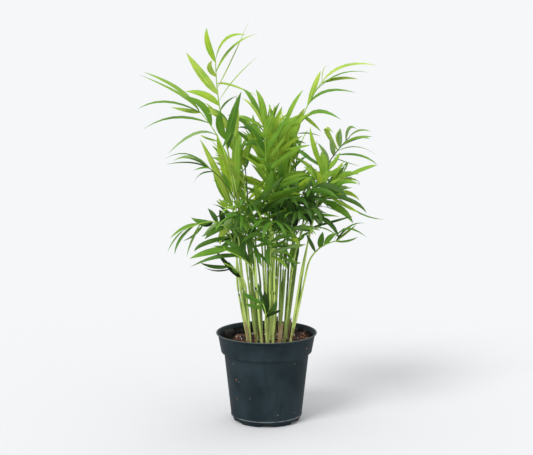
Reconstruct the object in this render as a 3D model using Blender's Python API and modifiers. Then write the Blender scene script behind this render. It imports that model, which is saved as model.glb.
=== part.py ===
"""A parlour palm in a plastic nursery pot: a clump of short canes, each with a few pinnate fronds.

Metres, +Z up. The origin is the middle of the pot's flat underside, +X is to the right
and -Y is to the front. Each frond is one thin blade cut to the rib between its leaflets.
"""

import math
import random
from typing import NamedTuple

import bmesh
import bpy
import numpy as np
from mathutils import Matrix, Vector, noise
from mathutils.bvhtree import BVHTree

MM = 0.001
UP = Vector((0, 0, 1))
CLEAR = 0.3 * MM

# Pot: a plain nursery pot, 108 mm across its rim and 96 mm high
POT_HEIGHT = 96 * MM
POT_RIM_RADIUS = 54 * MM
POT_WALL = 1.6 * MM
POT_BAND_HEIGHT = 21.5 * MM
POT_BAND_TOP_RADIUS = 51.8 * MM
POT_BAND_FOOT_RADIUS = 48.6 * MM
POT_BODY_TOP_RADIUS = 45.4 * MM
POT_BODY_FOOT_RADIUS = 38.0 * MM
POT_LEDGE_HEIGHT = 6.0 * MM
POT_SOLE_RADIUS = 33.5 * MM
POT_FLOOR = 2.0 * MM
POT_SIDES = 44
DRAIN_COUNT = 6
DRAIN_WIDTH = 15 * MM
DRAIN_HEIGHT = 3.2 * MM
DRAIN_DEPTH = 9 * MM

# Potting mix, a little below the rim and uneven round its edge
SOIL_TOP = 86 * MM
SOIL_SIDES = 28
SOIL_BUMP = 3 * MM
SOIL_FLAT_RADIUS = 33 * MM

# Canes
CANE_BEVEL_RESOLUTION = 1
CANE_STEM_SHARES = (0.15, 0.4, 0.7, 1)
CANE_SIZES = (1.22, 1.15, 1.04, 1.0, 0.95, 0.84)
CANE_UPRIGHT_FOOT = 1.5 * MM

# Fronds
STALK_RADIUS = 1.05 * MM
RIB_END_RADIUS = 0.5 * MM
STALK_STEPS = 5
LEAF_THICKNESS = 0.85 * MM
LEAF_WIDTH_SHARE = 0.12
LEAF_MARKS = (0.34, 0.72)
LEAF_WIDEST = 0.32
SOCKET_RADIUS = 1.8 * MM

# How far a leaflet may differ from the rule: angles in degrees, the rest as factors
ANGLE_DRAW = 7
LEAST_ANGLE = 14
VEE = 12
VEE_DRAW = 10
TURN_DRAW = 28
LENGTH_DRAW = (0.9, 1.08)
DROOP_DRAW = (0.6, 1.35)
WIDTH_DRAW = (0.9, 1.1)

# What keeps neighbours clear of each other
OWN_RIB_START = 0.4
MOST_TRIES = 24
STRAIN_TRIES = 8
MOST_WEAVES = 80
WEAVE_STEP = 0.2 * MM

# Linear colours of the leaves by age
LEAF_COLORS = {
    "young": (0.300, 0.500, 0.045),
    "grown": (0.140, 0.330, 0.045),
    "old": (0.050, 0.150, 0.030),
    "dull": (0.130, 0.270, 0.120),
}


class Cane(NamedTuple):
    """One stem of the clump. Sizes in mm, lean in degrees towards the compass angle towards."""

    x: float
    y: float
    height: float
    radius: float
    lean: float
    towards: float


class Frond(NamedTuple):
    """One leaf. Sizes in mm and angles in degrees.

    tip is the end of the rib, aim the compass angle its end points along and pitch its slope
    there. back is the compass angle that the underside of an upright blade faces. Leaflets
    leave the rib at the angle spread at the blade's foot and close at its tip. rise and fall
    are the parts of the reach over which the stalk leaves its cane and comes to its tip.
    """

    name: str
    cane: int
    age: str
    tip: tuple
    aim: float
    pitch: float
    back: float
    blade: float
    pairs: int
    leaflet: float
    spread: float
    close: float
    droop: float
    rise: float = 0.45
    fall: float = 0.32


class Leaflet(NamedTuple):
    """One leaflet as a curve of four control points, with its width axis and greatest width.

    seat is the stretch of the rib's edge that it grows from, and index its number up the rib.
    """

    points: tuple
    across: Vector
    width: float
    seat: tuple
    index: int


CANES = {
    1: Cane(-17, -14, 60, 2.7, 7, 185),
    2: Cane(-11, -8, 76, 2.8, 5, 170),
    3: Cane(-5, -17, 62, 2.7, 4, 190),
    4: Cane(1.5, -9, 82, 2.6, 2, 150),
    5: Cane(7, -17, 58, 2.7, 4, 260),
    6: Cane(13.5, -12, 84, 2.7, 3, 10),
    7: Cane(19, -4, 66, 2.6, 6, 20),
    8: Cane(25.5, -12, 74, 2.9, 10, 350),
    9: Cane(21, 9, 70, 2.6, 8, 40),
    10: Cane(-10, 9, 64, 2.7, 7, 130),
    11: Cane(4, 4, 78, 2.6, 3, 80),
    12: Cane(-20, 0, 54, 2.5, 8, 170),
    13: Cane(8, 18, 66, 2.7, 7, 75),
    14: Cane(0.5, -24, 16, 1.5, 5, 200),
}

FRONDS = (
    Frond("crest", 2, "young", (-53, 0, 385), 100, 87, 85, 84, 6, 58, 46, 22, 0.45),
    Frond("west_wing", 1, "young", (-71, -12, 334), 180, 46, 52, 74, 5, 78, 48, 8, 0.50),
    Frond("west_low", 2, "old", (-68, -40, 282), 205, 28, 190, 66, 5, 44, 46, 14, 0.50),
    Frond("young_fan", 12, "young", (-37, -8, 254), 130, 84, 90, 42, 3, 70, 26, 16, 0.10),
    Frond("shoulder", 1, "grown", (-84, -50, 214), 205, -20, 215, 78, 6, 32, 60, 24, 1.50, 0.75, 0.5),
    Frond("low_west", 3, "grown", (-43, -42, 192), 190, 25, 110, 44, 4, 46, 44, 10, 0.50),
    Frond("lowest_west", 1, "grown", (-44, -36, 177), 195, 30, 120, 30, 3, 32, 46, 12, 0.40),
    Frond("centre", 4, "grown", (-2, -22, 316), 110, 80, 90, 62, 5, 44, 46, 20, 0.30),
    Frond("centre_right", 11, "young", (20, -10, 322), 30, 70, 90, 64, 5, 40, 46, 16, 0.40),
    Frond("east_crest", 6, "young", (58, 5, 362), 0, 54, 58, 92, 7, 58, 48, 20, 0.75),
    Frond("east_behind", 9, "dull", (90, 45, 301), 10, 45, 45, 66, 6, 42, 56, 18, 0.70),
    Frond("east_front", 8, "young", (60, -28, 275), 0, 80, 90, 48, 4, 32, 44, 22, 0.30),
    Frond("east_side", 8, "grown", (76, -15, 262), 350, 32, 30, 66, 6, 48, 62, 14, 0.85),
    Frond("east_low", 8, "grown", (76, -32, 200), 350, 8, 60, 44, 4, 26, 58, 14, 0.30),
    Frond("middle_low", 6, "old", (36, -48, 218), 330, 5, 320, 50, 4, 32, 56, 20, 0.70),
    Frond("cross", 3, "old", (2, -45, 247), 330, 45, 90, 52, 4, 52, 48, 20, 0.40),
    Frond("heart", 5, "grown", (34, -45, 245), 320, 15, 330, 60, 6, 44, 64, 24, 1.00),
    Frond("heart_left", 3, "grown", (-28, -52, 228), 235, 0, 240, 60, 6, 42, 62, 24, 0.90),
    Frond("juvenile", 14, "grown", (-4, -36, 134), 170, 62, 90, 18, 3, 28, 52, 24, 0.20),
    Frond("back_crest", 13, "grown", (-8, 40, 318), 95, 58, 100, 84, 7, 48, 48, 20, 0.50),
    Frond("back_left", 10, "grown", (-44, 58, 296), 130, 38, 125, 84, 7, 48, 52, 20, 0.60),
    Frond("back_right", 9, "grown", (44, 60, 306), 50, 45, 55, 84, 7, 48, 50, 20, 0.60),
    Frond("back_low", 11, "old", (0, 86, 252), 95, 5, 95, 84, 7, 48, 56, 20, 0.80),
    Frond("back_low_left", 12, "grown", (-50, 62, 226), 140, -5, 135, 80, 6, 42, 58, 20, 0.90),
    Frond("back_low_right", 13, "grown", (70, 64, 236), 40, 0, 45, 80, 6, 46, 58, 20, 0.80),
    Frond("back_shoulder", 10, "old", (-28, 76, 206), 110, -20, 110, 74, 6, 40, 60, 22, 0.90, 0.6, 0.42),
    Frond("east_shoulder", 7, "old", (60, 52, 200), 40, -18, 40, 70, 6, 40, 60, 22, 0.90, 0.6, 0.42),
    Frond("west_back", 12, "grown", (-50, 30, 282), 165, 35, 150, 74, 6, 42, 56, 16, 0.60),
    Frond("west_high", 2, "grown", (-40, 14, 318), 150, 62, 120, 76, 6, 48, 48, 20, 0.50),
    Frond("inner_upright", 11, "grown", (2, 10, 300), 90, 82, 100, 70, 6, 46, 46, 20, 0.35),
    Frond("inner_left", 10, "old", (-24, 8, 284), 120, 75, 80, 66, 6, 46, 48, 20, 0.45),
    Frond("inner_right", 7, "old", (36, 4, 300), 30, 72, 80, 70, 6, 46, 48, 20, 0.45),
    Frond("front_low", 5, "grown", (6, -74, 226), 275, 0, 270, 66, 6, 42, 58, 22, 0.90),
    Frond("front_right", 6, "old", (46, -62, 238), 315, 10, 310, 64, 6, 42, 58, 22, 0.85),
    Frond("front_left", 4, "grown", (-32, -60, 246), 235, 18, 235, 66, 6, 44, 56, 20, 0.80),
    Frond("east_mid", 7, "grown", (78, 8, 246), 0, 15, 0, 72, 6, 44, 56, 18, 0.80),
    Frond("heart_right", 5, "old", (52, -28, 257), 0, 30, 60, 60, 6, 44, 56, 20, 0.80),
    Frond("middle_dark", 4, "old", (18, -38, 268), 320, 50, 80, 60, 6, 44, 54, 20, 0.55),
    Frond("back_middle", 13, "old", (18, 44, 268), 70, 45, 80, 70, 6, 46, 54, 20, 0.60),
)


def unit(vector):
    return Vector(vector).normalized()


def compass(angle, pitch=0.0):
    """The direction at a compass angle in degrees, 0 along +X and 90 along +Y, and a slope."""
    turn = math.radians(angle)
    slope = math.radians(pitch)
    return Vector((math.cos(turn) * math.cos(slope), math.sin(turn) * math.cos(slope), math.sin(slope)))


def curve_point(points, t):
    """A point of the cubic curve through the four control points."""
    u = 1 - t
    a, b, c, d = points
    return a * u**3 + b * (3 * u * u * t) + c * (3 * u * t * t) + d * t**3


def curve_slope(points, t):
    u = 1 - t
    a, b, c, d = points
    return unit((b - a) * (3 * u * u) + (c - b) * (6 * u * t) + (d - c) * (3 * t * t))


def curve_length(points, steps=24):
    marks = [curve_point(points, i / steps) for i in range(steps + 1)]
    return sum((b - a).length for a, b in zip(marks, marks[1:]))


def cane_axis(cane):
    return compass(cane.towards, 90 - cane.lean)


def cane_foot(cane):
    return Vector((cane.x * MM, cane.y * MM, SOIL_TOP + CLEAR))


def cane_tip(cane):
    return cane_foot(cane) + cane_axis(cane) * cane.height * MM


def sockets():
    """Where each frond's stalk stands on its cane: side by side, in the order of their headings."""
    places = {}
    for number, cane in CANES.items():
        mine = [f for f in FRONDS if f.cane == number]
        top, axis = cane_tip(cane), cane_axis(cane)

        def heading(frond, top=top):
            away = Vector(frond.tip) * MM - top
            return math.degrees(math.atan2(away.y, away.x))

        mine.sort(key=heading)
        middle = sum(heading(f) for f in mine) / max(len(mine), 1)
        reach = SOCKET_RADIUS if len(mine) > 1 else 0.0
        for k, frond in enumerate(mine):
            way = compass(middle + (k - (len(mine) - 1) / 2) * 360 / len(mine))
            places[frond.name] = top + unit(way - axis * way.dot(axis)) * reach + axis * CLEAR
    return places


def rib_curve(frond, foot, nudge=Vector((0, 0, 0))):
    """The line of a frond's stalk and rib: up out of its cane, then over to its tip."""
    tip = Vector(frond.tip) * MM
    reach = (tip - foot).length
    start = cane_axis(CANES[frond.cane]) * frond.rise * reach
    end = compass(frond.aim, frond.pitch) * frond.fall * reach
    return (foot, foot + start + nudge, tip - end + nudge, tip)


def rib_frame(frond, points, t):
    """The rib's direction, its side and its upper side at a point."""
    along = curve_slope(points, t)
    level = compass(frond.back - 90)
    side = unit(level - along * level.dot(along))
    return along, side, side.cross(along)


def rib_radius(t):
    return STALK_RADIUS + (RIB_END_RADIUS - STALK_RADIUS) * t**1.2


def rib_edge(frond, points, t, hand):
    """The point on the rib's edge, on the right for a hand of 1 and on the left for -1."""
    _, side, _ = rib_frame(frond, points, t)
    return curve_point(points, t) + side * hand * rib_radius(t)


def blade_marks(frond, points):
    """Places along the rib, as shares of it, between which the leaflets stand in turn."""
    start = 1 - frond.blade * MM / curve_length(points)
    count = 2 * frond.pairs
    return [start + (1 - start) * i / count for i in range(count + 1)]


def leaflet_size(share):
    """Length of a leaflet at a share of the blade, against the longest one."""
    return 0.62 + 0.38 * math.sin(math.pi * (0.12 + 0.58 * share))


def leaflet(frond, points, marks, index, draw, strain):
    """One leaflet: it leaves the rib at an angle that closes towards the tip, then bends down.

    strain is how far it may turn from its own place to keep clear of others.
    """
    share = index / max(len(marks) - 2, 1)
    hand = 1 if index % 2 else -1
    middle = (marks[index] + marks[index + 1]) / 2
    along, side, upper = rib_frame(frond, points, middle)
    angle = frond.spread + (frond.close - frond.spread) * share
    angle = math.radians(max(LEAST_ANGLE, angle + draw.uniform(-ANGLE_DRAW, ANGLE_DRAW) * strain))
    vee = math.radians(VEE + draw.uniform(-VEE_DRAW, VEE_DRAW) * strain)
    out = side * hand * math.cos(vee) + upper * math.sin(vee)
    first = unit(along * math.cos(angle) + out * math.sin(angle))
    length = frond.leaflet * MM * leaflet_size(share) * draw.uniform(*LENGTH_DRAW)
    droop = frond.droop * draw.uniform(*DROOP_DRAW)
    root = curve_point(points, middle) + side * hand * rib_radius(middle)
    seat = tuple(rib_edge(frond, points, t, hand) for t in (marks[index], marks[index + 1]))
    last = unit(first - UP * droop)
    between = unit(first - UP * droop * 0.35)
    b = root + first * length * 0.34
    c = b + between * length * 0.34
    d = c + last * length * 0.32
    face = unit(upper - first * upper.dot(first))
    across = face.cross(first)
    across.rotate(Matrix.Rotation(math.radians(draw.uniform(-TURN_DRAW, TURN_DRAW)), 3, first))
    width = length * LEAF_WIDTH_SHARE * draw.uniform(*WIDTH_DRAW)
    return Leaflet((root, b, c, d), across, width, seat, index)


def leaf_breadth(t):
    """Breadth of a leaflet at a share of its length, against its widest."""
    if t < LEAF_WIDEST:
        x = t / LEAF_WIDEST
        return 0.34 + 0.66 * x * (2 - x)
    x = (t - LEAF_WIDEST) / (1 - LEAF_WIDEST)
    return max(0.0, 1 - x**1.8) ** 1.1


def leaf_pair(item, t):
    """The two edge points of a leaflet at a share of its length."""
    along = curve_slope(item.points, t)
    across = unit(item.across - along * item.across.dot(along))
    middle = curve_point(item.points, t)
    half = across * item.width * leaf_breadth(t) / 2
    return middle - half, middle + half


def slab(rows, thicknesses):
    """A closed strip of triangles round rows of two edge points, for the test of what touches."""
    verts = []
    for i, (left, right) in enumerate(rows):
        ahead = rows[min(i + 1, len(rows) - 1)][0] - rows[max(i - 1, 0)][0]
        face = unit((right - left).cross(ahead)) * thicknesses[i] / 2
        verts += [left - face, right - face, right + face, left + face]
    faces = []
    for i in range(len(rows) - 1):
        for k in range(4):
            a, b = 4 * i + k, 4 * i + (k + 1) % 4
            faces += [(a, b, b + 4), (a, b + 4, a + 4)]
    return BVHTree.FromPolygons(verts, faces, all_triangles=True)


def leaf_rows(item):
    """The leaflet's outline from its seat to its tip, as rows of two points on facing edges."""
    rows = [item.seat]
    for t in LEAF_MARKS:
        one, two = leaf_pair(item, t)
        before = rows[-1][1] - rows[-1][0]
        rows.append((one, two) if (two - one).dot(before) > 0 else (two, one))
    return rows


def leaflet_test(item, gap, start=0.1):
    """The leaflet thickened by a gap, for the test of what touches.

    It starts a little way out from its seat, so that it doesn't count as touching its own rib.
    """
    rows = leaf_rows(item)
    foot = tuple(a.lerp(b, start) for a, b in zip(rows[0], rows[1]))
    tip = item.points[3]
    margin = (rows[-1][1] - rows[-1][0]) * 0.1
    rows = [foot] + rows[1:] + [(tip - margin, tip + margin)]
    thick = LEAF_THICKNESS + (2.2 * STALK_RADIUS - LEAF_THICKNESS) * (1 - start)
    return slab(rows, [thick + 2 * gap] + [LEAF_THICKNESS + 2 * gap] * (len(rows) - 1))


def tube_test(line, radii):
    """A square tube round a line of points, for the test of what touches."""
    verts, faces = [], []
    for i, point in enumerate(line):
        point = Vector(point)
        along = unit(Vector(line[min(i + 1, len(line) - 1)] - line[max(i - 1, 0)]))
        side = unit(along.cross(Vector((0.31, 0.87, 0.12))))
        other = along.cross(side)
        r = float(radii[i])
        verts += [point + side * r, point + other * r, point - side * r, point - other * r]
    for i in range(len(line) - 1):
        for k in range(4):
            a, b = 4 * i + k, 4 * i + (k + 1) % 4
            faces += [(a, b, b + 4), (a, b + 4, a + 4)]
    return BVHTree.FromPolygons(verts, faces, all_triangles=True)


def cane_samples(cane):
    """Points along a cane and its radius at each."""
    line = [cane_foot(cane).lerp(cane_tip(cane), i / 10) for i in range(11)]
    return np.array(line), np.full(11, cane.radius * MM * 1.05)


def rib_samples(points):
    """Points along a rib and the radius that holds its square section at each."""
    shares = [i / 60 for i in range(61)]
    line = [curve_point(points, t) for t in shares]
    return np.array(line), np.array([rib_radius(t) * 1.25 for t in shares])


def clearance(mine, others):
    """The least gap between one line of points with radii and the others."""
    line = np.concatenate([samples[0] for samples in others] or [mine[0] + 1])
    radii = np.concatenate([samples[1] for samples in others] or [mine[1]])
    apart = np.linalg.norm(mine[0][:, None] - line[None], axis=2)
    return float((apart - mine[1][:, None] - radii[None]).min())


def touches(shape, others):
    return any(shape.overlap(other) for other in others)


def grow():
    """Every frond's rib and leaflets, each set clear of what grew before it.

    A stalk that would touch another weaves past it. A leaflet that would touch tries other
    angles, and is left out if none is clear.
    """
    canes = {number: cane_samples(cane) for number, cane in CANES.items()}
    place = sockets()
    grown = []
    near = []
    for order, frond in enumerate(FRONDS):
        draw = random.Random(1000 + order)
        others = near + [canes[number] for number in CANES if number != frond.cane]
        for attempt in range(MOST_WEAVES):
            way = compass(draw.uniform(0, 360))
            points = rib_curve(frond, place[frond.name], way * attempt * WEAVE_STEP)
            mine = rib_samples(points)
            if clearance(mine, others) > CLEAR:
                break
        near.append(mine)
        grown.append((frond, points))
    solid = [tube_test(*samples) for samples in canes.values()]
    ribs = [tube_test(*samples) for samples in near]
    margin = 2 * CLEAR
    leaves = []
    result = []
    for order, (frond, points) in enumerate(grown):
        marks = blade_marks(frond, points)
        others = solid + ribs[:order] + ribs[order + 1 :]
        kept = []
        for index in range(2 * frond.pairs):
            for attempt in range(MOST_TRIES):
                draw = random.Random(100000 * (order + 1) + 100 * index + attempt)
                item = leaflet(frond, points, marks, index, draw, 1 + attempt / STRAIN_TRIES)
                outer_part = leaflet_test(item, 0, OWN_RIB_START)
                if touches(leaflet_test(item, margin), others + leaves):
                    continue
                if not touches(outer_part, [ribs[order]]):
                    leaves.append(leaflet_test(item, 0))
                    kept.append(item)
                    break
        result.append((frond, points, marks, kept))
    print("leaflets", sum(len(kept) for *_, kept in result))
    return result


def collection(name):
    made = bpy.data.collections.new(name)
    bpy.context.scene.collection.children.link(made)
    return made


def material(name, color, roughness):
    made = bpy.data.materials.new(name)
    made.use_nodes = True
    shader = made.node_tree.nodes["Principled BSDF"]
    shader.inputs["Base Color"].default_value = (*color, 1)
    shader.inputs["Roughness"].default_value = roughness
    shader.inputs["Metallic"].default_value = 0.0
    made.diffuse_color = (*color, 1)
    return made


def add_object(name, data, look, group):
    made = bpy.data.objects.new(name, data)
    group.objects.link(made)
    data.materials.append(look)
    return made


def turned(name, outline, sides, look, group):
    """A solid turned about the Z axis from an outline of (radius, height) that starts and ends on it."""
    mesh = bpy.data.meshes.new(name)
    verts = [(r, 0, z) for r, z in outline]
    mesh.from_pydata(verts, [(i, i + 1) for i in range(len(verts) - 1)], [])
    made = add_object(name, mesh, look, group)
    screw = made.modifiers.new("Turn", "SCREW")
    screw.steps = screw.render_steps = sides
    screw.use_merge_vertices = True
    screw.merge_threshold = 0.0001
    return made


def pot_outline():
    """Outer side from rim to sole, then the inner side back up. It closes at the rim."""
    wall = POT_WALL
    band_foot = POT_HEIGHT - POT_BAND_HEIGHT
    return [
        (0, POT_FLOOR),
        (POT_SOLE_RADIUS - wall, POT_FLOOR),
        (POT_BODY_FOOT_RADIUS - wall - 0.6 * MM, POT_LEDGE_HEIGHT),
        (POT_BODY_TOP_RADIUS - wall, band_foot - wall),
        (POT_BAND_FOOT_RADIUS - wall, band_foot + wall),
        (POT_BAND_TOP_RADIUS - wall, POT_HEIGHT - 3 * MM),
        (POT_RIM_RADIUS - 2 * wall, POT_HEIGHT),
        (POT_RIM_RADIUS - 0.5 * MM, POT_HEIGHT),
        (POT_RIM_RADIUS, POT_HEIGHT - 1.0 * MM),
        (POT_RIM_RADIUS - 0.8 * MM, POT_HEIGHT - 2.2 * MM),
        (POT_BAND_TOP_RADIUS, POT_HEIGHT - 4 * MM),
        (POT_BAND_FOOT_RADIUS, band_foot + 1.2 * MM),
        (POT_BAND_FOOT_RADIUS - 1.2 * MM, band_foot),
        (POT_BODY_TOP_RADIUS, band_foot - 0.8 * MM),
        (POT_BODY_FOOT_RADIUS, POT_LEDGE_HEIGHT),
        (POT_BODY_FOOT_RADIUS - 1.2 * MM, POT_LEDGE_HEIGHT - 1.2 * MM),
        (POT_SOLE_RADIUS + 1.4 * MM, 0.9 * MM),
        (POT_SOLE_RADIUS, 0),
        (0, 0),
    ]


def make_pot(look, group, cutters):
    pot = turned("pot", pot_outline(), POT_SIDES, look, group)
    for k in range(DRAIN_COUNT):
        bpy.ops.mesh.primitive_cube_add(size=1)
        cutter = bpy.context.object
        cutter.name = f"drain_cutter_{k + 1}"
        turn = math.radians(-90 + 360 * k / DRAIN_COUNT)
        middle = POT_SOLE_RADIUS - DRAIN_DEPTH / 2 + 3 * MM
        cutter.dimensions = (DRAIN_DEPTH + 6 * MM, DRAIN_WIDTH, 2 * DRAIN_HEIGHT)
        cutter.location = (middle * math.cos(turn), middle * math.sin(turn), 0)
        cutter.rotation_euler = (0, 0, turn)
        cutter.hide_render = True
        cutter.display_type = "WIRE"
        for owner in list(cutter.users_collection):
            owner.objects.unlink(cutter)
        cutters.objects.link(cutter)
        cut = pot.modifiers.new(f"Drain {k + 1}", "BOOLEAN")
        cut.operation = "DIFFERENCE"
        cut.object = cutter
    return pot


def make_soil(look, group):
    """The potting mix: a turned plug, its top flat under the canes and bumpy round the edge."""
    gap = CLEAR + 0.2 * MM
    wall = POT_WALL + gap
    band_foot = POT_HEIGHT - POT_BAND_HEIGHT
    share = (SOIL_TOP - band_foot) / POT_BAND_HEIGHT
    edge = POT_BAND_FOOT_RADIUS + (POT_BAND_TOP_RADIUS - POT_BAND_FOOT_RADIUS) * share - wall
    outline = [
        (0, SOIL_TOP),
        (SOIL_FLAT_RADIUS, SOIL_TOP),
        (SOIL_FLAT_RADIUS + 7 * MM, SOIL_TOP - 0.5 * MM),
        (edge - 2 * MM, SOIL_TOP - 1.5 * MM),
        (edge - 0.6 * MM, SOIL_TOP - 2.5 * MM),
        (POT_BAND_FOOT_RADIUS - wall - 0.5 * MM, band_foot + wall),
        (POT_BODY_TOP_RADIUS - wall - 0.2 * MM, band_foot - wall),
        (POT_BODY_FOOT_RADIUS - wall - 1.0 * MM, POT_LEDGE_HEIGHT + gap),
        (POT_SOLE_RADIUS - wall, POT_FLOOR + 2 * gap),
        (0, POT_FLOOR + 2 * gap),
    ]
    soil = turned("potting_mix", outline, SOIL_SIDES, look, group)
    bpy.context.view_layer.update()
    graph = bpy.context.evaluated_depsgraph_get()
    mesh = bpy.data.meshes.new_from_object(soil.evaluated_get(graph))
    soil.modifiers.clear()
    soil.data = mesh
    for vertex in mesh.vertices:
        radius = math.hypot(vertex.co.x, vertex.co.y)
        if radius > SOIL_FLAT_RADIUS + MM and vertex.co.z > SOIL_TOP - 2 * MM:
            vertex.co.z += (noise.noise(vertex.co * 60) - 0.2) * SOIL_BUMP
    return soil


def make_cane(number, cane, look, group):
    """A tapering stem with a flared foot, cut flat at the soil and at its tip."""
    curve = bpy.data.curves.new(f"cane_{number:02d}", "CURVE")
    curve.dimensions = "3D"
    curve.bevel_depth = cane.radius * MM
    curve.bevel_resolution = CANE_BEVEL_RESOLUTION
    curve.use_fill_caps = True
    spline = curve.splines.new("POLY")
    foot, tip = cane_foot(cane), cane_tip(cane)
    # The lean starts a little above the foot, which is upright and so stands flat on the soil.
    line = [foot, foot + UP * CANE_UPRIGHT_FOOT]
    line += [foot.lerp(tip, share) for share in CANE_STEM_SHARES]
    spline.points.add(len(line) - 1)
    for point, place, size in zip(spline.points, line, CANE_SIZES):
        point.co = (*place, 1)
        point.radius = size
    return add_object(curve.name, curve, look, group)


def make_frond(frond, points, marks, leaflets, look, group):
    """One sheet for the rib and its leaflets, which share the rib's edge, made solid by its thickness."""
    mesh = bmesh.new()
    weight = mesh.verts.layers.deform.verify()
    shares = [marks[0] * i / STALK_STEPS for i in range(STALK_STEPS)] + list(marks)
    edges = []
    for t in shares:
        pair = []
        for hand in (-1, 1):
            vertex = mesh.verts.new(rib_edge(frond, points, t, hand))
            vertex[weight][0] = rib_radius(t) / STALK_RADIUS
            pair.append(vertex)
        edges.append(pair)
    for (a, b), (c, d) in zip(edges, edges[1:]):
        mesh.faces.new((a, b, d, c))
    thin = LEAF_THICKNESS / (2 * STALK_RADIUS)
    for item in leaflets:
        hand = item.index % 2
        rows = [tuple(edges[STALK_STEPS + item.index + k][hand] for k in (0, 1))]
        for pair in leaf_rows(item)[1:]:
            rows.append(tuple(mesh.verts.new(place) for place in pair))
        tip = mesh.verts.new(item.points[3])
        for vertex in (*rows[1], *rows[2], tip):
            vertex[weight][0] = thin
        faces = [(a, c, d, b) for (a, b), (c, d) in zip(rows, rows[1:])]
        faces.append((rows[-1][0], tip, rows[-1][1]))
        for face in faces:
            mesh.faces.new(face if hand else face[::-1])
    data = bpy.data.meshes.new(frond.name)
    mesh.to_mesh(data)
    mesh.free()
    made = add_object(f"frond_{frond.name}", data, look, group)
    made.vertex_groups.new(name="Thickness")
    shell = made.modifiers.new("Thickness", "SOLIDIFY")
    shell.thickness = 2 * STALK_RADIUS
    shell.offset = 0
    shell.vertex_group = "Thickness"
    shell.thickness_vertex_group = 0.0
    return made


def main():
    for old in list(bpy.data.objects):
        bpy.data.objects.remove(old)
    plant = collection("Parlour palm")
    cutters = collection("Cutters")
    make_pot(material("Pot plastic", (0.020, 0.032, 0.036), 0.45), plant, cutters)
    make_soil(material("Potting mix", (0.075, 0.035, 0.020), 0.95), plant)
    stem_look = material("Cane", (0.42, 0.52, 0.16), 0.5)
    for number, cane in CANES.items():
        make_cane(number, cane, stem_look, plant)
    leaf_looks = {age: material(f"Leaf {age}", color, 0.45) for age, color in LEAF_COLORS.items()}
    for frond, points, marks, leaflets in grow():
        make_frond(frond, points, marks, leaflets, leaf_looks[frond.age], plant)


main()
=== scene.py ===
"""A parlour palm in its nursery pot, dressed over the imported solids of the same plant.

Metres, +Z up. The origin is the middle of the pot's flat underside. The plan of the canes
and fronds and the rule that they grow by are the solids' own. Here each frond gets its
leaflets in their real form, and the canes, pot and potting mix their finish.
"""

import math
import random
from typing import NamedTuple

import bmesh
import bpy
import numpy as np
from mathutils import Matrix, Vector, noise


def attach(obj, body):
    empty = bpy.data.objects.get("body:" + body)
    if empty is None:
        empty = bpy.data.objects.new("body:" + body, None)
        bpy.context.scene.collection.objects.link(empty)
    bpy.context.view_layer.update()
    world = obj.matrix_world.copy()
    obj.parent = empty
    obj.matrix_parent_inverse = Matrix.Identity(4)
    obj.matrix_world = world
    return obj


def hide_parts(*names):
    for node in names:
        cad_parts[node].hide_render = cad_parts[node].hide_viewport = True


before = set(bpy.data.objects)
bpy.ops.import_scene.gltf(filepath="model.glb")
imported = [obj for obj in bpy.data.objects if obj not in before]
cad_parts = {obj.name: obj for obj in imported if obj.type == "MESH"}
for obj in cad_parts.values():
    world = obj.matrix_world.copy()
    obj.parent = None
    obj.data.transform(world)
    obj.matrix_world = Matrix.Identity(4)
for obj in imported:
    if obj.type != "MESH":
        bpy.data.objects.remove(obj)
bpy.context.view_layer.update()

MM = 0.001
UP = Vector((0, 0, 1))
CLEAR = 0.3 * MM

# Camera, fitted to the pot's rim, band and foot in the photograph. Its pitch is in degrees
# below level, its lens and sensor are in mm, and TO_CAMERA is the way to it from the plant
CAMERA_PLACE = (0, -1.45, 0.4311)
CAMERA_PITCH = 8.718
CAMERA_LENS = 93.52
SENSOR_WIDTH = 36
TO_CAMERA = Vector((0, -0.988, 0.152))

# Stage. For each sun: the way it comes from, its spread in degrees and its strength
SKY = (0.9215, 0.931, 0.95)
SUNS = {"key": ((-0.55, -0.75, 1.0), 22, 1.9), "rim": ((0.6, 0.8, 0.9), 35, 0.3)}
FLOOR_RADIUS = 30
FLOOR_SIDES = 96
FLOOR_ROUGHNESS = 0.9

# Pot
POT_HEIGHT = 96 * MM
POT_RIM_RADIUS = 54 * MM
POT_WALL = 1.6 * MM
POT_BAND_HEIGHT = 21.5 * MM
POT_BAND_TOP_RADIUS = 51.8 * MM
POT_BAND_FOOT_RADIUS = 48.6 * MM
POT_BODY_TOP_RADIUS = 45.4 * MM
POT_BODY_FOOT_RADIUS = 38.0 * MM
POT_LEDGE_HEIGHT = 6.0 * MM
POT_SOLE_RADIUS = 33.5 * MM
POT_FLOOR = 2.0 * MM
POT_SIDES = 160
DRAIN_COUNT = 6
DRAIN_WIDTH = 15 * MM
DRAIN_HEIGHT = 3.2 * MM
DRAIN_DEPTH = 9 * MM
DRAIN_CORNER = 1.6 * MM
CUTTER_PAST_FOOT = 3 * MM
POT_LIP = 0.75 * MM
POT_FLOOR_CORNER = 2 * MM
SHARP_ANGLE = 40
WELD = 0.01 * MM

# Potting mix
SOIL_TOP = 86 * MM
SOIL_RINGS = 44
SOIL_SIDES = 180
SOIL_GAP = CLEAR + 0.2 * MM
SOIL_POCKET = 8 * MM
SOIL_MOUND = 3.6 * MM
SOIL_LUMP = 2.5 * MM
SOIL_LUMP_PLACE = (-30 * MM, 8 * MM)
SOIL_UNEVEN = ((1.4 * MM, 90), (0.9 * MM, 260))
SOIL_SINK = 1.2 * MM

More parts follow.
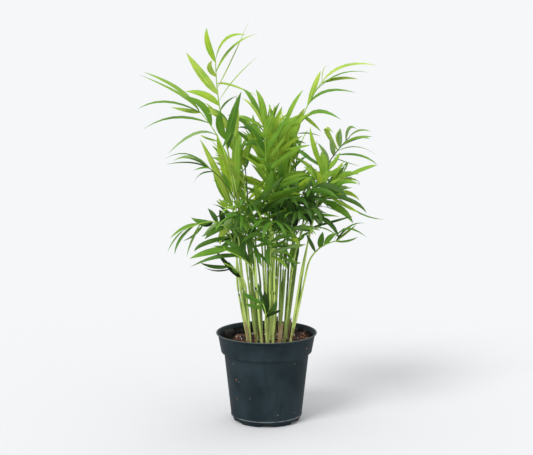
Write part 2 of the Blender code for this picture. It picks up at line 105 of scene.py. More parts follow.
# What is strewn over the potting mix: pieces on a square metre, the least and the most size
# against the model's, how flat they lie, and the seed of their places. It lies where the
# surface faces up by at least LEAST_UPRIGHT, which is 1 on the level
STREWN = {
    "crumbs_dark": (150000.0, 0.5, 1.3, 0.0, 11),
    "crumbs_red": (50000.0, 0.5, 1.5, 0.0, 12),
    "bark_fibres": (45000.0, 0.5, 1.3, 0.85, 13),
    "perlite": (14000.0, 0.6, 1.4, 0.0, 21),
}
LEAST_UPRIGHT = 0.35
CRUMB_DRAW = (0.7, 1.15)

# Fronds: the solids' sizes
STALK_RADIUS = 1.05 * MM
RIB_END_RADIUS = 0.5 * MM
SOCKET_RADIUS = 1.8 * MM
RIB_TAPER = 1.2
MOST_WEAVES = 80
WEAVE_STEP = 0.2 * MM
CANE_SAMPLES = 10
CANE_MARGIN = 1.05
RIB_SAMPLES = 60
RIB_MARGIN = 1.25
FIRST_RIB_SEED = 1000

# Stalks: the share of its cane's height at which each starts, and how it lies against the cane
STALK_SIDES = 10
STALK_CHANNEL = 0.22
STALK_STATIONS = 48
STALK_SWELL = 0.1 * MM
WRAP_START = (-0.02, 0.12)
WRAP_POINTS = 14
WRAP_GIRTH = 1.05 * MM
WRAP_FOOT = 0.4
WRAP_IN = 0.9 * MM
WRAP_OUT = 3.0 * MM
WRAP_REACH = 0.35

# Canes: shares of the solids' radius, and rings of leaf scars. Heights in mm
CANE_SIDES = 16
CANE_SLIM = 0.53
CANE_TAPER = 0.12
CANE_TIP_TAPER = 0.8
CANE_FLARE = 0.5 * MM
CANE_FLARE_HEIGHT = 8
CANE_SUNK = 1.2
CANE_PAST_TIP = 1.5
CANE_LEAST_STATIONS = 24
CANE_STATIONS_A_MM = 1.2
CANE_RELIEF = {"depth": 0.16 * MM, "scale": 420.0, "stretch": 0.12}
FIRST_CANE_SEED = 300
RING_SHARES = (0.28, 0.55, 0.8)
RING_DRAW = 3
RING_STEP = 0.15 * MM
RING_RISE = 5
RING_FALL = 0.8

# Dry sheaths: cane number, height in mm, and how far round the cane and at which angle it wraps
SHEATHS = (
    (1, 26, 70, 215),
    (6, 24, 100, 285),
    (9, 24, 190, 60),
    (10, 22, 190, 120),
    (13, 24, 200, 90),
)
SHEATH_ROWS = 7
SHEATH_COLUMNS = 13
SHEATH_RAGGED = (0.72, 1.0)
SHEATH_CANE_SHARE = 0.85
SHEATH_FOOT_GAP = 0.5
SHEATH_FLARE = 0.9
SHEATH_CRUMPLE = 0.08
SHEATH_THICKNESS = 0.35
FIRST_SHEATH_SEED = 500

# Leaflets, finer than the solids': shares of their length and of half their width, and draws
# of angles in degrees and of factors. LEAF_THIRDS are the parts of the length between the
# control points, and the middle part has LEAF_MIDDLE_DROOP of the droop
LEAF_WIDTH_SHARE = 0.122
LEAF_WIDEST = 0.36
LEAF_FOOT_BREADTH = 0.20
LEAF_TIP_BREADTH = 0.02
LEAF_TIP_CURVE = 2.2
LEAF_STATIONS = (0, 0.05, 0.13, 0.24, 0.38, 0.53, 0.68, 0.82, 0.93, 1)
LEAF_UPPER_SIDE = ((-1, 0), (-0.52, 0.10), (0, 0.15), (0.52, 0.10), (1, 0))
LEAF_UNDER_SIDE = ((0.5, 0.02), (0, 0.07), (-0.5, 0.02))
LEAF_SHARP_ANGLE = 70
LEAF_THIRDS = (0.34, 0.34, 0.32)
LEAF_MIDDLE_DROOP = 0.35
ANGLE_DRAW = 7
LEAST_ANGLE = 14
VEE = 12
VEE_DRAW = 10
TURN_DRAW = 32
TWIST_DRAW = 35
LENGTH_DRAW = (0.88, 1.06)
DROOP_DRAW = (0.6, 1.35)
WIDTH_DRAW = (0.85, 1.15)
SICKLE_DRAW = 0.05
LAST_LEAFLET_WIDER = 1.3
SHOWN_WIDER = 1.1
SHOWN_TWIST_DRAW = 15

# Linear base colours of the leaves, a few tints for each age, the factors that darken their
# streaks, and the share of light that they let through
LEAF_TINTS = {
    "y1": (0.50, 0.65, 0.090),
    "y2": (0.385, 0.56, 0.036),
    "g1": (0.165, 0.345, 0.022),
    "g2": (0.098, 0.24, 0.014),
    "g3": (0.27, 0.46, 0.036),
    "o1": (0.055, 0.135, 0.010),
    # o2, the darkest tint, is painted shade as well as old leaf colour: its value is that of
    # leaflets in deep shade
    "o2": (0.018, 0.050, 0.005),
    "d": (0.29, 0.44, 0.130),
}
TINTS_OF_AGE = {
    "young": ("y1", "y2"),
    "grown": ("g1", "g2", "g3"),
    "old": ("o1", "o2"),
    "dull": ("d",),
}
LEAF_DEEPER = (0.62, 0.80, 0.78)
LEAF_THROUGH = 0.25

# Linear base colours of the other finishes. A stalk's are at its foot and at its tip
STALK_COLORS = {
    "bright": ((0.50, 0.66, 0.15), (0.30, 0.50, 0.050)),
    # Painted shade as well as stalk colour: the deep pair is a darker copy of the stalk finish, for
    # old and dull fronds
    "deep": ((0.14, 0.24, 0.030), (0.075, 0.16, 0.015)),
}
STALK_LOW = (0.56, 0.65, 0.24)
STALK_SPOT = (0.17, 0.075, 0.04)
CANE_GREEN = (0.42, 0.52, 0.11)
CANE_STREAK = (0.09, 0.16, 0.022)
CANE_LOW = (0.56, 0.62, 0.25)
CANE_DRY = (0.16, 0.07, 0.03)
CANE_RING = (0.30, 0.22, 0.08)
SHEATH_TAN = (0.52, 0.42, 0.22)
SHEATH_VEIN = (0.26, 0.13, 0.06)
SHEATH_BLOTCH = (0.20, 0.075, 0.045)
POT_DARK = (0.008, 0.016, 0.020)
POT_LIGHT = (0.020, 0.034, 0.040)
POT_STREAK = (0.006, 0.011, 0.013)
POT_SCUFF = (0.035, 0.052, 0.058)
# Painted highlight: a pale ring along the top of the lip
POT_LIP_HIGHLIGHT = (0.14, 0.16, 0.14)
# Painted highlight: a pale line along the ledge near the foot
POT_LEDGE_HIGHLIGHT = (0.19, 0.22, 0.22)
POT_WORN_BAND = (0.11, 0.13, 0.13)
# Painted shade for the pot's inner wall
POT_INSIDE_SHADE = (0.0035, 0.0035, 0.003)
POT_SMUDGE = (0.12, 0.115, 0.10)
# Potting mix tones. The dark one falls in the hollows as painted shade
MIX_DARK = (0.005, 0.003, 0.0025)
MIX_LIGHT = (0.030, 0.013, 0.008)
MIX_FLECK = (0.20, 0.075, 0.035)
BARK_DARK = ((0.040, 0.018, 0.011), (0.006, 0.004, 0.003))
BARK_RED = ((0.27, 0.080, 0.040), (0.06, 0.018, 0.010))
BARK_FIBRE = ((0.36, 0.155, 0.080), (0.10, 0.032, 0.018))
PERLITE_DARK = (0.62, 0.58, 0.52)
PERLITE_LIGHT = (0.88, 0.86, 0.82)

# Specks of potting mix on the pot: cells a metre, size in a cell, share of the cells and colour
POT_SPECKS = (
    (95, 0.11, 0.10, (0.40, 0.13, 0.05)),
    (170, 0.12, 0.10, (0.22, 0.17, 0.12)),
    (60, 0.07, 0.16, (0.10, 0.17, 0.22)),
)


class Cane(NamedTuple):
    """One stem of the clump. Sizes in mm, lean in degrees towards the compass angle towards."""

    x: float
    y: float
    height: float
    radius: float
    lean: float
    towards: float


class Frond(NamedTuple):
    """One leaf. Sizes in mm and angles in degrees.

    tip is the end of the rib, aim the compass angle its end points along and pitch its slope
    there. back is the compass angle that the underside of an upright blade faces. blade is the
    length of the blade and leaflet that of its longest leaflet. Leaflets leave the rib at the
    angle spread at the blade's foot and close at its tip, and droop is how far they sink. rise
    and fall are the parts of the reach over which the stalk leaves its cane and comes to its
    tip.
    """

    name: str
    cane: int
    age: str
    tip: tuple
    aim: float
    pitch: float
    back: float
    blade: float
    leaflet: float
    spread: float
    close: float
    droop: float
    rise: float = 0.45
    fall: float = 0.32


class Leaflet(NamedTuple):
    """One leaflet as a curve of four control points, with its width axis and greatest width."""

    points: tuple
    across: Vector
    width: float


CANES = {
    1: Cane(-17, -14, 60, 2.7, 7, 185),
    2: Cane(-11, -8, 76, 2.8, 5, 170),
    3: Cane(-5, -17, 62, 2.7, 4, 190),
    4: Cane(1.5, -9, 82, 2.6, 2, 150),
    5: Cane(7, -17, 58, 2.7, 4, 260),
    6: Cane(13.5, -12, 84, 2.7, 3, 10),
    7: Cane(19, -4, 66, 2.6, 6, 20),
    8: Cane(25.5, -12, 74, 2.9, 10, 350),
    9: Cane(21, 9, 70, 2.6, 8, 40),
    10: Cane(-10, 9, 64, 2.7, 7, 130),
    11: Cane(4, 4, 78, 2.6, 3, 80),
    12: Cane(-20, 0, 54, 2.5, 8, 170),
    13: Cane(8, 18, 66, 2.7, 7, 75),
    14: Cane(0.5, -24, 16, 1.5, 5, 200),
}

FRONDS = (
    Frond("crest", 2, "young", (-53, 0, 385), 100, 87, 85, 84, 58, 46, 22, 0.45),
    Frond("west_wing", 1, "young", (-71, -12, 334), 180, 46, 52, 74, 78, 48, 8, 0.50),
    Frond("west_low", 2, "old", (-68, -40, 282), 205, 28, 190, 66, 44, 46, 14, 0.50),
    Frond("young_fan", 12, "young", (-37, -8, 254), 130, 84, 90, 42, 70, 26, 16, 0.10),
    Frond("shoulder", 1, "grown", (-84, -50, 214), 205, -20, 215, 78, 32, 60, 24, 1.50,
          rise=0.75, fall=0.5),
    Frond("low_west", 3, "grown", (-43, -42, 192), 190, 25, 110, 44, 46, 44, 10, 0.50),
    Frond("lowest_west", 1, "grown", (-44, -36, 177), 195, 30, 120, 30, 32, 46, 12, 0.40),
    Frond("centre", 4, "grown", (-2, -22, 316), 110, 80, 90, 62, 44, 46, 20, 0.30),
    Frond("centre_right", 11, "young", (20, -10, 322), 30, 70, 90, 64, 40, 46, 16, 0.40),
    Frond("east_crest", 6, "young", (58, 5, 362), 0, 54, 58, 92, 58, 48, 20, 0.75),
    Frond("east_behind", 9, "dull", (90, 45, 301), 10, 45, 45, 66, 42, 56, 18, 0.70),
    Frond("east_front", 8, "young", (60, -28, 275), 0, 80, 90, 48, 32, 44, 22, 0.30),
    Frond("east_side", 8, "grown", (76, -15, 262), 350, 32, 30, 66, 48, 62, 14, 0.85),
    Frond("east_low", 8, "grown", (76, -32, 200), 350, 8, 60, 44, 26, 58, 14, 0.30),
    Frond("middle_low", 6, "old", (36, -48, 218), 330, 5, 320, 50, 32, 56, 20, 0.70),
    Frond("cross", 3, "old", (2, -45, 247), 330, 45, 90, 52, 52, 48, 20, 0.40),
    Frond("heart", 5, "grown", (34, -45, 245), 320, 15, 330, 60, 44, 64, 24, 1.00),
    Frond("heart_left", 3, "grown", (-28, -52, 228), 235, 0, 240, 60, 42, 62, 24, 0.90),
    Frond("juvenile", 14, "grown", (-4, -36, 134), 170, 62, 90, 18, 28, 52, 24, 0.20),
    Frond("back_crest", 13, "grown", (-8, 40, 318), 95, 58, 100, 84, 48, 48, 20, 0.50),
    Frond("back_left", 10, "grown", (-44, 58, 296), 130, 38, 125, 84, 48, 52, 20, 0.60),
    Frond("back_right", 9, "grown", (44, 60, 306), 50, 45, 55, 84, 48, 50, 20, 0.60),
    Frond("back_low", 11, "old", (0, 86, 252), 95, 5, 95, 84, 48, 56, 20, 0.80),
    Frond("back_low_left", 12, "grown", (-50, 62, 226), 140, -5, 135, 80, 42, 58, 20, 0.90),
    Frond("back_low_right", 13, "grown", (70, 64, 236), 40, 0, 45, 80, 46, 58, 20, 0.80),
    Frond("back_shoulder", 10, "old", (-28, 76, 206), 110, -20, 110, 74, 40, 60, 22, 0.90,
          rise=0.6, fall=0.42),
    Frond("east_shoulder", 7, "old", (60, 52, 200), 40, -18, 40, 70, 40, 60, 22, 0.90,
          rise=0.6, fall=0.42),
    Frond("west_back", 12, "grown", (-50, 30, 282), 165, 35, 150, 74, 42, 56, 16, 0.60),
    Frond("west_high", 2, "grown", (-40, 14, 318), 150, 62, 120, 76, 48, 48, 20, 0.50),
    Frond("inner_upright", 11, "grown", (2, 10, 300), 90, 82, 100, 70, 46, 46, 20, 0.35),
    Frond("inner_left", 10, "old", (-24, 8, 284), 120, 75, 80, 66, 46, 48, 20, 0.45),
    Frond("inner_right", 7, "old", (36, 4, 300), 30, 72, 80, 70, 46, 48, 20, 0.45),
    Frond("front_low", 5, "grown", (6, -74, 226), 275, 0, 270, 66, 42, 58, 22, 0.90),
    Frond("front_right", 6, "old", (46, -62, 238), 315, 10, 310, 64, 42, 58, 22, 0.85),
    Frond("front_left", 4, "grown", (-32, -60, 246), 235, 18, 235, 66, 44, 56, 20, 0.80),
    Frond("east_mid", 7, "grown", (78, 8, 246), 0, 15, 0, 72, 44, 56, 18, 0.80),
    Frond("heart_right", 5, "old", (52, -28, 257), 0, 30, 60, 60, 44, 56, 20, 0.80),
    Frond("middle_dark", 4, "old", (18, -38, 268), 320, 50, 80, 60, 44, 54, 20, 0.55),
    Frond("back_middle", 13, "old", (18, 44, 268), 70, 45, 80, 70, 46, 54, 20, 0.60),
)

# The leaflets that the photograph shows one by one. For each: its place on the rib as a share,
# its middle and its tip in mm, its width in mm, its turn edge-on in degrees and its tint.
SHOWN = {
    "crest": (
        (0.99, (-61, 2, 402), (-62, 4, 418), 6.0, 0, "y2"),
        (1.00, (-42, -4, 407), (-21, -10, 411), 5.6, 56, "y2"),
        (0.94, (-35, 6, 399), (-9, 13, 412), 6.2, 60, "y2"),
        (0.92, (-59, -6, 377), (-56, -13, 385), 5.4, 0, "y1"),
        (0.86, (-37, 8, 384), (-18, 21, 426), 3.1, 64, "y2"),
        (0.79, (-33, -11, 366), (-8, -22, 390), 2.9, 64, "y2"),
        (0.88, (-37, 4, 359), (-10, 11, 347), 5.0, 64, "y2"),
        (0.83, (-68, -4, 371), (-83, -8, 393), 8.0, 0, "y1"),
        (0.77, (-65, 2, 349), (-85, 8, 352), 6.5, 0, "y2"),
        (0.65, (-50, -9, 326), (-61, -17, 331), 3.8, 45, "y2"),
        (0.59, (-49, -10, 320), (-47, -18, 334), 7.7, 0, "g1"),
        (0.54, (-36, -6, 322), (-26, -8, 353), 8.3, 0, "g2"),
        (0.74, (-41, 2, 342), (-29, 8, 348), 3.6, 51, "g2"),
        (0.43, (-45, -1, 279), (-58, 3, 283), 4.8, 0, "g3"),
        (0.32, (-32, -2, 285), (-29, 1, 311), 8.7, 0, "g3"),
        (0.34, (-22, -2, 241), (-7, 1, 225), 4.7, 64, "g1"),
    ),
    "west_high": (
        (1.00, (-52, 21, 329), (-64, 30, 332), 4.5, 0, "g3"),
    ),
    "west_wing": (
        (1.00, (-92, -9, 356), (-128, -6, 373), 6.6, 60, "g3"),
        (0.99, (-88, -17, 350), (-131, -22, 371), 6.6, 56, "g3"),
        (0.88, (-66, -14, 338), (-86, -16, 348), 6.5, 0, "g1"),
        (0.98, (-82, -7, 333), (-100, 0, 336), 4.4, 20, "y1"),
        (0.98, (-103, -19, 343), (-132, -28, 336), 5.4, 60, "g1"),
        (0.90, (-96, -8, 326), (-129, -2, 313), 5.6, 60, "g1"),
        (0.77, (-62, -6, 304), (-69, 2, 307), 3.4, 48, "y2"),
        (0.73, (-39, -6, 307), (-32, 2, 322), 4.3, 44, "g2"),
        (0.81, (-74, -16, 310), (-102, -20, 289), 6.3, 64, "d"),
    ),
    "west_low": (
        (0.91, (-81, -40, 291), (-104, -45, 286), 4.2, 64, "g2"),
        (0.90, (-78, -33, 287), (-97, -29, 282), 5.6, 39, "d"),
        (0.89, (-78, -29, 281), (-105, -23, 278), 3.1, 64, "g2"),
        (0.88, (-63, -38, 277), (-75, -42, 274), 2.8, 43, "g1"),
        (0.85, (-68, -29, 269), (-76, -25, 257), 3.9, 64, "g2"),
        (0.62, (-42, -25, 263), (-47, -29, 271), 3.6, 0, "g1"),
    ),
    "young_fan": (
        (0.81, (-47, -8, 248), (-56, -8, 268), 5.2, 28, "g3"),
        (0.77, (-52, -12, 269), (-69, -16, 304), 10.6, 50, "y1"),
        (0.90, (-45, -7, 278), (-52, -4, 309), 8.8, 29, "y2"),
        (0.76, (-48, -10, 235), (-52, -12, 240), 2.7, 33, "y2"),
        (0.79, (-46, -5, 236), (-50, -2, 240), 2.7, 0, "y2"),
        (0.60, (-46, -6, 204), (-49, -6, 191), 6.8, 0, "y1"),
        (0.71, (-25, -14, 218), (-20, -22, 208), 5.7, 0, "g1"),
        (0.58, (-31, -10, 203), (-27, -14, 196), 4.1, 0, "g1"),
        (0.64, (-52, -11, 214), (-66, -17, 203), 4.8, 17, "d"),
        (0.54, (-26, -11, 200), (-18, -17, 191), 4.4, 0, "g1"),
        (0.43, (-25, -10, 183), (-17, -18, 171), 8.0, 0, "o1"),
        (0.55, (-30, -9, 202), (-28, -14, 195), 3.3, 0, "y2"),
        (0.68, (-43, -13, 216), (-44, -19, 210), 6.8, 0, "d"),
    ),
    "west_back": (
        (0.56, (-24, 19, 241), (-21, 25, 256), 3.4, 0, "y1"),
        (0.38, (-39, 2, 198), (-53, -7, 194), 4.8, 0, "o2"),
        (0.37, (-30, 4, 193), (-23, -1, 178), 5.7, 0, "o2"),
        (0.40, (-28, 6, 202), (-29, 2, 192), 4.4, 0, "g1"),
        (0.30, (-35, 10, 185), (-37, 13, 175), 5.7, 0, "g1"),
    ),
    "shoulder": (
        (0.64, (-55, -29, 226), (-61, -26, 233), 4.8, 0, "o1"),
        (0.56, (-46, -30, 226), (-49, -32, 232), 5.9, 0, "o2"),
        (0.74, (-68, -35, 220), (-78, -32, 224), 5.2, 0, "g2"),
        (0.86, (-84, -46, 216), (-99, -50, 205), 4.5, 49, "g1"),
        (1.00, (-94, -47, 204), (-102, -44, 190), 3.1, 64, "g1"),
        (0.91, (-88, -49, 205), (-94, -55, 189), 4.9, 53, "g2"),
        (0.85, (-78, -38, 199), (-83, -34, 182), 5.3, 58, "g3"),
        (0.81, (-74, -43, 208), (-86, -46, 202), 3.8, 49, "g2"),
        (0.37, (-64, -25, 196), (-75, -30, 188), 5.5, 30, "g2"),
        (0.57, (-59, -24, 208), (-68, -19, 202), 3.6, 19, "d"),
        (0.30, (-32, -24, 185), (-23, -30, 180), 4.0, 0, "g3"),
        (0.70, (-63, -30, 217), (-72, -25, 217), 5.7, 0, "o2"),
        (0.51, (-54, -31, 210), (-64, -36, 202), 5.7, 0, "g2"),
        (0.36, (-43, -18, 193), (-52, -13, 189), 4.8, 0, "g2"),
    ),
    "heart_left": (
        (0.64, (-17, -37, 202), (-16, -41, 188), 5.0, 0, "o1"),
        (0.88, (-5, -50, 248), (18, -55, 270), 7.9, 52, "o1"),
        (1.00, (-24, -59, 224), (-20, -68, 215), 4.9, 0, "g1"),
        (0.46, (-15, -31, 194), (-18, -34, 190), 3.7, 0, "g2"),
        (0.57, (-16, -29, 204), (-19, -26, 197), 6.0, 0, "o2"),
        (0.41, (-9, -32, 184), (-5, -39, 174), 4.7, 0, "g2"),
        (0.35, (-16, -22, 181), (-14, -18, 172), 2.9, 0, "g2"),
        (1.00, (-36, -49, 229), (-44, -46, 229), 5.7, 0, "g2"),
        (0.88, (-28, -53, 221), (-39, -61, 218), 6.8, 0, "o1"),
        (0.99, (-24, -54, 220), (-24, -56, 210), 5.7, 0, "o1"),
    ),
    "low_west": (
        (0.98, (-60, -45, 190), (-79, -50, 184), 6.3, 0, "g1"),
        (0.69, (-52, -33, 183), (-79, -31, 172), 6.9, 51, "g2"),
        (0.54, (-32, -27, 192), (-46, -23, 199), 6.8, 0, "g2"),
        (0.62, (-37, -37, 191), (-55, -42, 196), 5.0, 0, "g2"),
        (0.61, (-25, -30, 199), (-34, -28, 211), 5.2, 0, "o1"),
        (0.99, (-49, -37, 192), (-63, -32, 189), 5.7, 0, "g3"),
    ),
    "lowest_west": (
        (0.80, (-54, -31, 172), (-69, -29, 176), 4.2, 22, "o1"),
        (0.68, (-52, -32, 168), (-65, -36, 173), 3.7, 64, "o2"),
        (0.30, (-37, -20, 168), (-57, -20, 192), 5.8, 30, "o2"),
        (0.47, (-34, -21, 167), (-40, -18, 176), 3.9, 0, "g2"),
    ),
    "centre": (
        (0.98, (-4, -24, 338), (-11, -26, 356), 6.5, 0, "g3"),
        (1.00, (-14, -18, 344), (-25, -14, 356), 6.3, 45, "g1"),
        (1.00, (-13, -27, 337), (-25, -32, 347), 5.3, 52, "y1"),
        (0.94, (3, -30, 321), (7, -39, 331), 8.8, 0, "g3"),
        (1.00, (3, -18, 333), (3, -12, 339), 3.5, 56, "y1"),
        (1.00, (7, -26, 333), (7, -30, 341), 3.8, 60, "y2"),
        (0.93, (-11, -21, 316), (-14, -17, 330), 5.2, 0, "g1"),
        (0.90, (-18, -18, 315), (-32, -12, 315), 4.9, 48, "o1"),
        (0.82, (-12, -30, 302), (-26, -38, 297), 5.2, 0, "g2"),
        (1.00, (-21, -19, 326), (-29, -16, 327), 4.0, 22, "g3"),
        (0.96, (-10, -16, 320), (-18, -9, 324), 3.0, 64, "g1"),
        (0.72, (1, -31, 293), (1, -41, 307), 4.3, 59, "g1"),
        (0.77, (-5, -18, 283), (-17, -11, 288), 2.9, 0, "g1"),
    ),
    "inner_left": (
        (1.00, (-20, 4, 278), (-26, 0, 267), 2.9, 0, "o1"),
    ),
    "centre_right": (
        (0.77, (10, -7, 300), (19, -3, 308), 4.4, 0, "g3"),
        (0.71, (-2, -15, 276), (-14, -22, 281), 4.4, 0, "g3"),
        (0.88, (13, -9, 324), (21, -6, 334), 4.3, 57, "y1"),
        (0.89, (25, -13, 334), (38, -16, 355), 6.9, 52, "g3"),
        (0.83, (19, -16, 315), (34, -22, 330), 8.0, 0, "g3"),
        (0.89, (26, -18, 312), (33, -26, 319), 7.7, 0, "g3"),
        (0.78, (31, -14, 295), (46, -17, 298), 4.6, 57, "g3"),
        (0.69, (18, -8, 291), (27, -5, 303), 5.2, 0, "y2"),
        (0.72, (26, -15, 289), (35, -22, 298), 5.9, 0, "g3"),
        (0.67, (8, -4, 285), (7, 1, 295), 4.4, 0, "y2"),
        (0.82, (22, -10, 312), (32, -7, 324), 7.0, 0, "g3"),
        (0.39, (8, 2, 232), (2, 4, 234), 2.9, 0, "o2"),
    ),
    "east_crest": (
        (0.55, (30, 4, 299), (42, 9, 297), 3.7, 0, "g1"),
        (0.56, (38, 3, 288), (48, 7, 281), 3.2, 0, "g3"),
        (0.52, (37, -6, 280), (48, -12, 268), 3.8, 40, "g3"),
        (1.00, (82, 8, 379), (116, 11, 379), 6.4, 64, "y1"),
        (0.94, (77, -1, 371), (107, -7, 372), 5.6, 64, "g1"),
        (0.99, (76, 3, 366), (96, 1, 365), 5.2, 46, "y1"),
        (0.84, (51, 9, 359), (57, 14, 373), 5.2, 0, "y1"),
        (0.84, (63, 0, 353), (94, -6, 351), 7.4, 56, "g1"),
        (0.72, (53, -4, 332), (77, -12, 324), 6.6, 49, "g1"),
        (0.77, (47, 9, 320), (58, 15, 309), 3.7, 13, "y2"),
        (1.00, (60, 7, 376), (66, 9, 378), 2.4, 64, "y1"),
        (0.66, (33, -2, 321), (40, -7, 336), 6.1, 0, "y1"),
        (0.66, (46, 8, 308), (58, 15, 304), 3.2, 64, "g1"),
    ),
    "east_behind": (
        (0.87, (64, 39, 310), (72, 36, 306), 4.9, 0, "y1"),
        (0.90, (79, 46, 302), (80, 51, 310), 5.2, 0, "d"),
        (0.82, (71, 39, 291), (68, 37, 301), 5.2, 0, "d"),
        (0.75, (63, 40, 284), (55, 42, 295), 4.4, 0, "d"),
        (0.96, (90, 47, 311), (100, 50, 307), 3.4, 22, "d"),
        (0.98, (99, 43, 308), (113, 41, 307), 3.8, 63, "g3"),
        (0.91, (96, 39, 300), (114, 35, 302), 4.8, 46, "d"),
        (0.86, (100, 46, 290), (124, 52, 277), 2.8, 64, "g3"),
        (0.82, (100, 36, 282), (120, 31, 271), 6.4, 64, "g1"),
        (0.89, (76, 46, 304), (85, 51, 308), 3.5, 61, "y1"),
        (0.81, (85, 46, 274), (103, 54, 268), 3.2, 64, "g3"),
        (0.62, (43, 38, 273), (32, 42, 276), 4.3, 39, "y2"),
        (0.53, (45, 27, 259), (38, 23, 265), 4.3, 0, "g1"),
    ),
    "east_front": (
        (0.90, (59, -29, 281), (56, -32, 292), 8.6, 0, "g3"),
        (0.96, (70, -25, 281), (76, -22, 291), 4.3, 0, "g3"),
        (0.96, (49, -26, 297), (45, -24, 317), 6.3, 30, "y2"),
        (0.97, (51, -31, 290), (52, -34, 305), 4.6, 53, "y2"),
        (1.00, (41, -24, 287), (34, -18, 292), 4.3, 39, "g2"),
        (0.81, (55, -31, 265), (51, -37, 274), 5.6, 0, "y2"),
        (0.79, (61, -28, 266), (63, -29, 273), 5.6, 0, "g3"),
        (0.40, (71, -23, 219), (90, -27, 225), 5.6, 64, "o1"),
        (0.51, (66, -25, 217), (76, -28, 200), 5.0, 20, "o1"),
        (0.52, (56, -19, 216), (52, -15, 210), 3.9, 0, "d"),
        (0.51, (60, -27, 226), (76, -32, 225), 3.7, 32, "g1"),
        (0.85, (58, -24, 269), (68, -19, 281), 5.1, 0, "g2"),
        (0.85, (48, -22, 269), (39, -15, 275), 4.7, 0, "g3"),
    ),
    "east_side": (
        (0.93, (82, -18, 268), (96, -24, 268), 4.7, 0, "g3"),
        (1.00, (102, -13, 273), (115, -11, 276), 5.5, 47, "g3"),
        (0.78, (71, -10, 261), (82, -7, 275), 7.5, 0, "g2"),
        (0.91, (83, -16, 260), (95, -20, 258), 3.9, 0, "y2"),
        (1.00, (93, -10, 261), (97, -3, 254), 3.7, 56, "g3"),
        (0.74, (66, -7, 252), (76, -1, 258), 5.6, 0, "g2"),
        (0.48, (44, -16, 235), (39, -20, 248), 7.7, 0, "o1"),
        (0.90, (73, -12, 269), (81, -10, 280), 3.9, 0, "y2"),
        (0.83, (77, -9, 258), (90, -3, 263), 5.6, 0, "g2"),
        (0.70, (69, -15, 249), (81, -18, 260), 5.6, 0, "g1"),
        (0.88, (77, -15, 262), (86, -18, 269), 4.7, 0, "y1"),
        (1.00, (84, -11, 277), (77, -5, 271), 3.7, 60, "g1"),
    ),
    "east_mid": (
        (0.91, (80, 11, 250), (89, 15, 248), 3.9, 0, "d"),
        (0.84, (83, 3, 246), (98, -2, 238), 4.9, 15, "y2"),
        (0.89, (93, 9, 235), (107, 13, 222), 5.9, 45, "g2"),
        (0.87, (84, 1, 232), (98, -5, 225), 4.9, 44, "y2"),
        (0.78, (79, -2, 228), (91, -11, 215), 7.0, 0, "g1"),
        (0.93, (99, 9, 223), (125, 11, 216), 3.2, 64, "g1"),
        (0.53, (41, 4, 225), (44, 7, 233), 4.4, 0, "o2"),
        (0.30, (28, 2, 181), (26, 6, 172), 5.4, 0, "g1"),
        (0.30, (32, 0, 178), (28, 2, 171), 3.3, 0, "o1"),
        (0.83, (76, 12, 240), (87, 20, 240), 4.1, 0, "g2"),
    ),
    "east_low": (
        (0.45, (46, -24, 197), (41, -27, 207), 3.6, 0, "o1"),
        (0.57, (57, -22, 199), (59, -18, 207), 6.1, 0, "g2"),
        (0.68, (66, -30, 203), (73, -35, 208), 5.2, 0, "g1"),
        (0.90, (84, -29, 199), (95, -27, 203), 3.3, 55, "g1"),
        (0.92, (84, -26, 208), (94, -21, 215), 3.8, 50, "y1"),
        (0.88, (83, -35, 213), (104, -40, 204), 5.7, 62, "g2"),
        (0.92, (88, -27, 215), (105, -23, 216), 4.3, 64, "g2"),
    ),
    "middle_low": (
        (0.60, (39, -37, 215), (55, -45, 213), 4.8, 45, "d"),
        (0.63, (37, -40, 215), (55, -48, 213), 4.9, 41, "d"),
        (0.57, (28, -38, 205), (33, -48, 197), 5.6, 0, "y2"),
        (0.40, (13, -25, 195), (4, -29, 193), 3.2, 0, "g1"),
        (0.30, (30, -15, 191), (41, -12, 193), 3.2, 0, "g3"),
        (0.41, (33, -21, 199), (40, -18, 203), 3.2, 0, "g1"),
        (0.65, (14, -38, 228), (11, -43, 241), 8.1, 0, "o1"),
        (0.30, (28, -20, 172), (30, -24, 168), 3.8, 39, "g2"),
        (0.30, (21, -13, 174), (23, -8, 167), 3.8, 45, "o1"),
    ),
    "heart": (
        (0.71, (2, -35, 232), (-9, -38, 227), 3.7, 50, "o1"),
        (0.30, (19, -22, 186), (26, -19, 181), 2.8, 0, "g3"),
        (0.30, (27, -23, 176), (36, -21, 175), 4.0, 47, "g1"),
        (0.38, (1, -28, 197), (-6, -31, 197), 2.1, 36, "g1"),
        (0.42, (11, -24, 200), (15, -22, 198), 1.7, 0, "o2"),
    ),
    "front_right": (
        (0.54, (25, -38, 234), (21, -46, 247), 8.5, 0, "o1"),
        (0.84, (29, -55, 232), (22, -58, 225), 3.7, 0, "o2"),
    ),
    "heart_right": (
        (0.90, (23, -36, 254), (13, -46, 247), 4.8, 45, "g1"),
        (0.92, (44, -37, 253), (41, -48, 247), 3.7, 0, "g2"),
        (0.85, (46, -24, 246), (50, -28, 230), 7.0, 0, "g2"),
        (0.66, (42, -16, 228), (46, -20, 212), 8.0, 0, "o2"),
        (0.58, (30, -16, 220), (26, -20, 206), 7.5, 0, "o2"),
    ),
    "inner_right": (
        (0.60, (32, -7, 240), (34, -16, 230), 4.4, 0, "g1"),
    ),
    "middle_dark": (
        (0.76, (14, -32, 255), (22, -39, 258), 4.4, 0, "g2"),
        (0.80, (24, -26, 244), (32, -26, 230), 8.0, 0, "o2"),
        (0.74, (12, -24, 238), (10, -26, 222), 8.0, 0, "o1"),
        (0.66, (22, -22, 230), (30, -24, 216), 8.0, 0, "o2"),
        (0.58, (10, -20, 222), (8, -24, 206), 7.5, 0, "o2"),
    ),
    "front_left": (
        (0.47, (-16, -19, 206), (-21, -16, 195), 4.4, 0, "o2"),
    ),
    "front_low": (
        (0.43, (1, -37, 184), (5, -42, 174), 4.6, 0, "g2"),
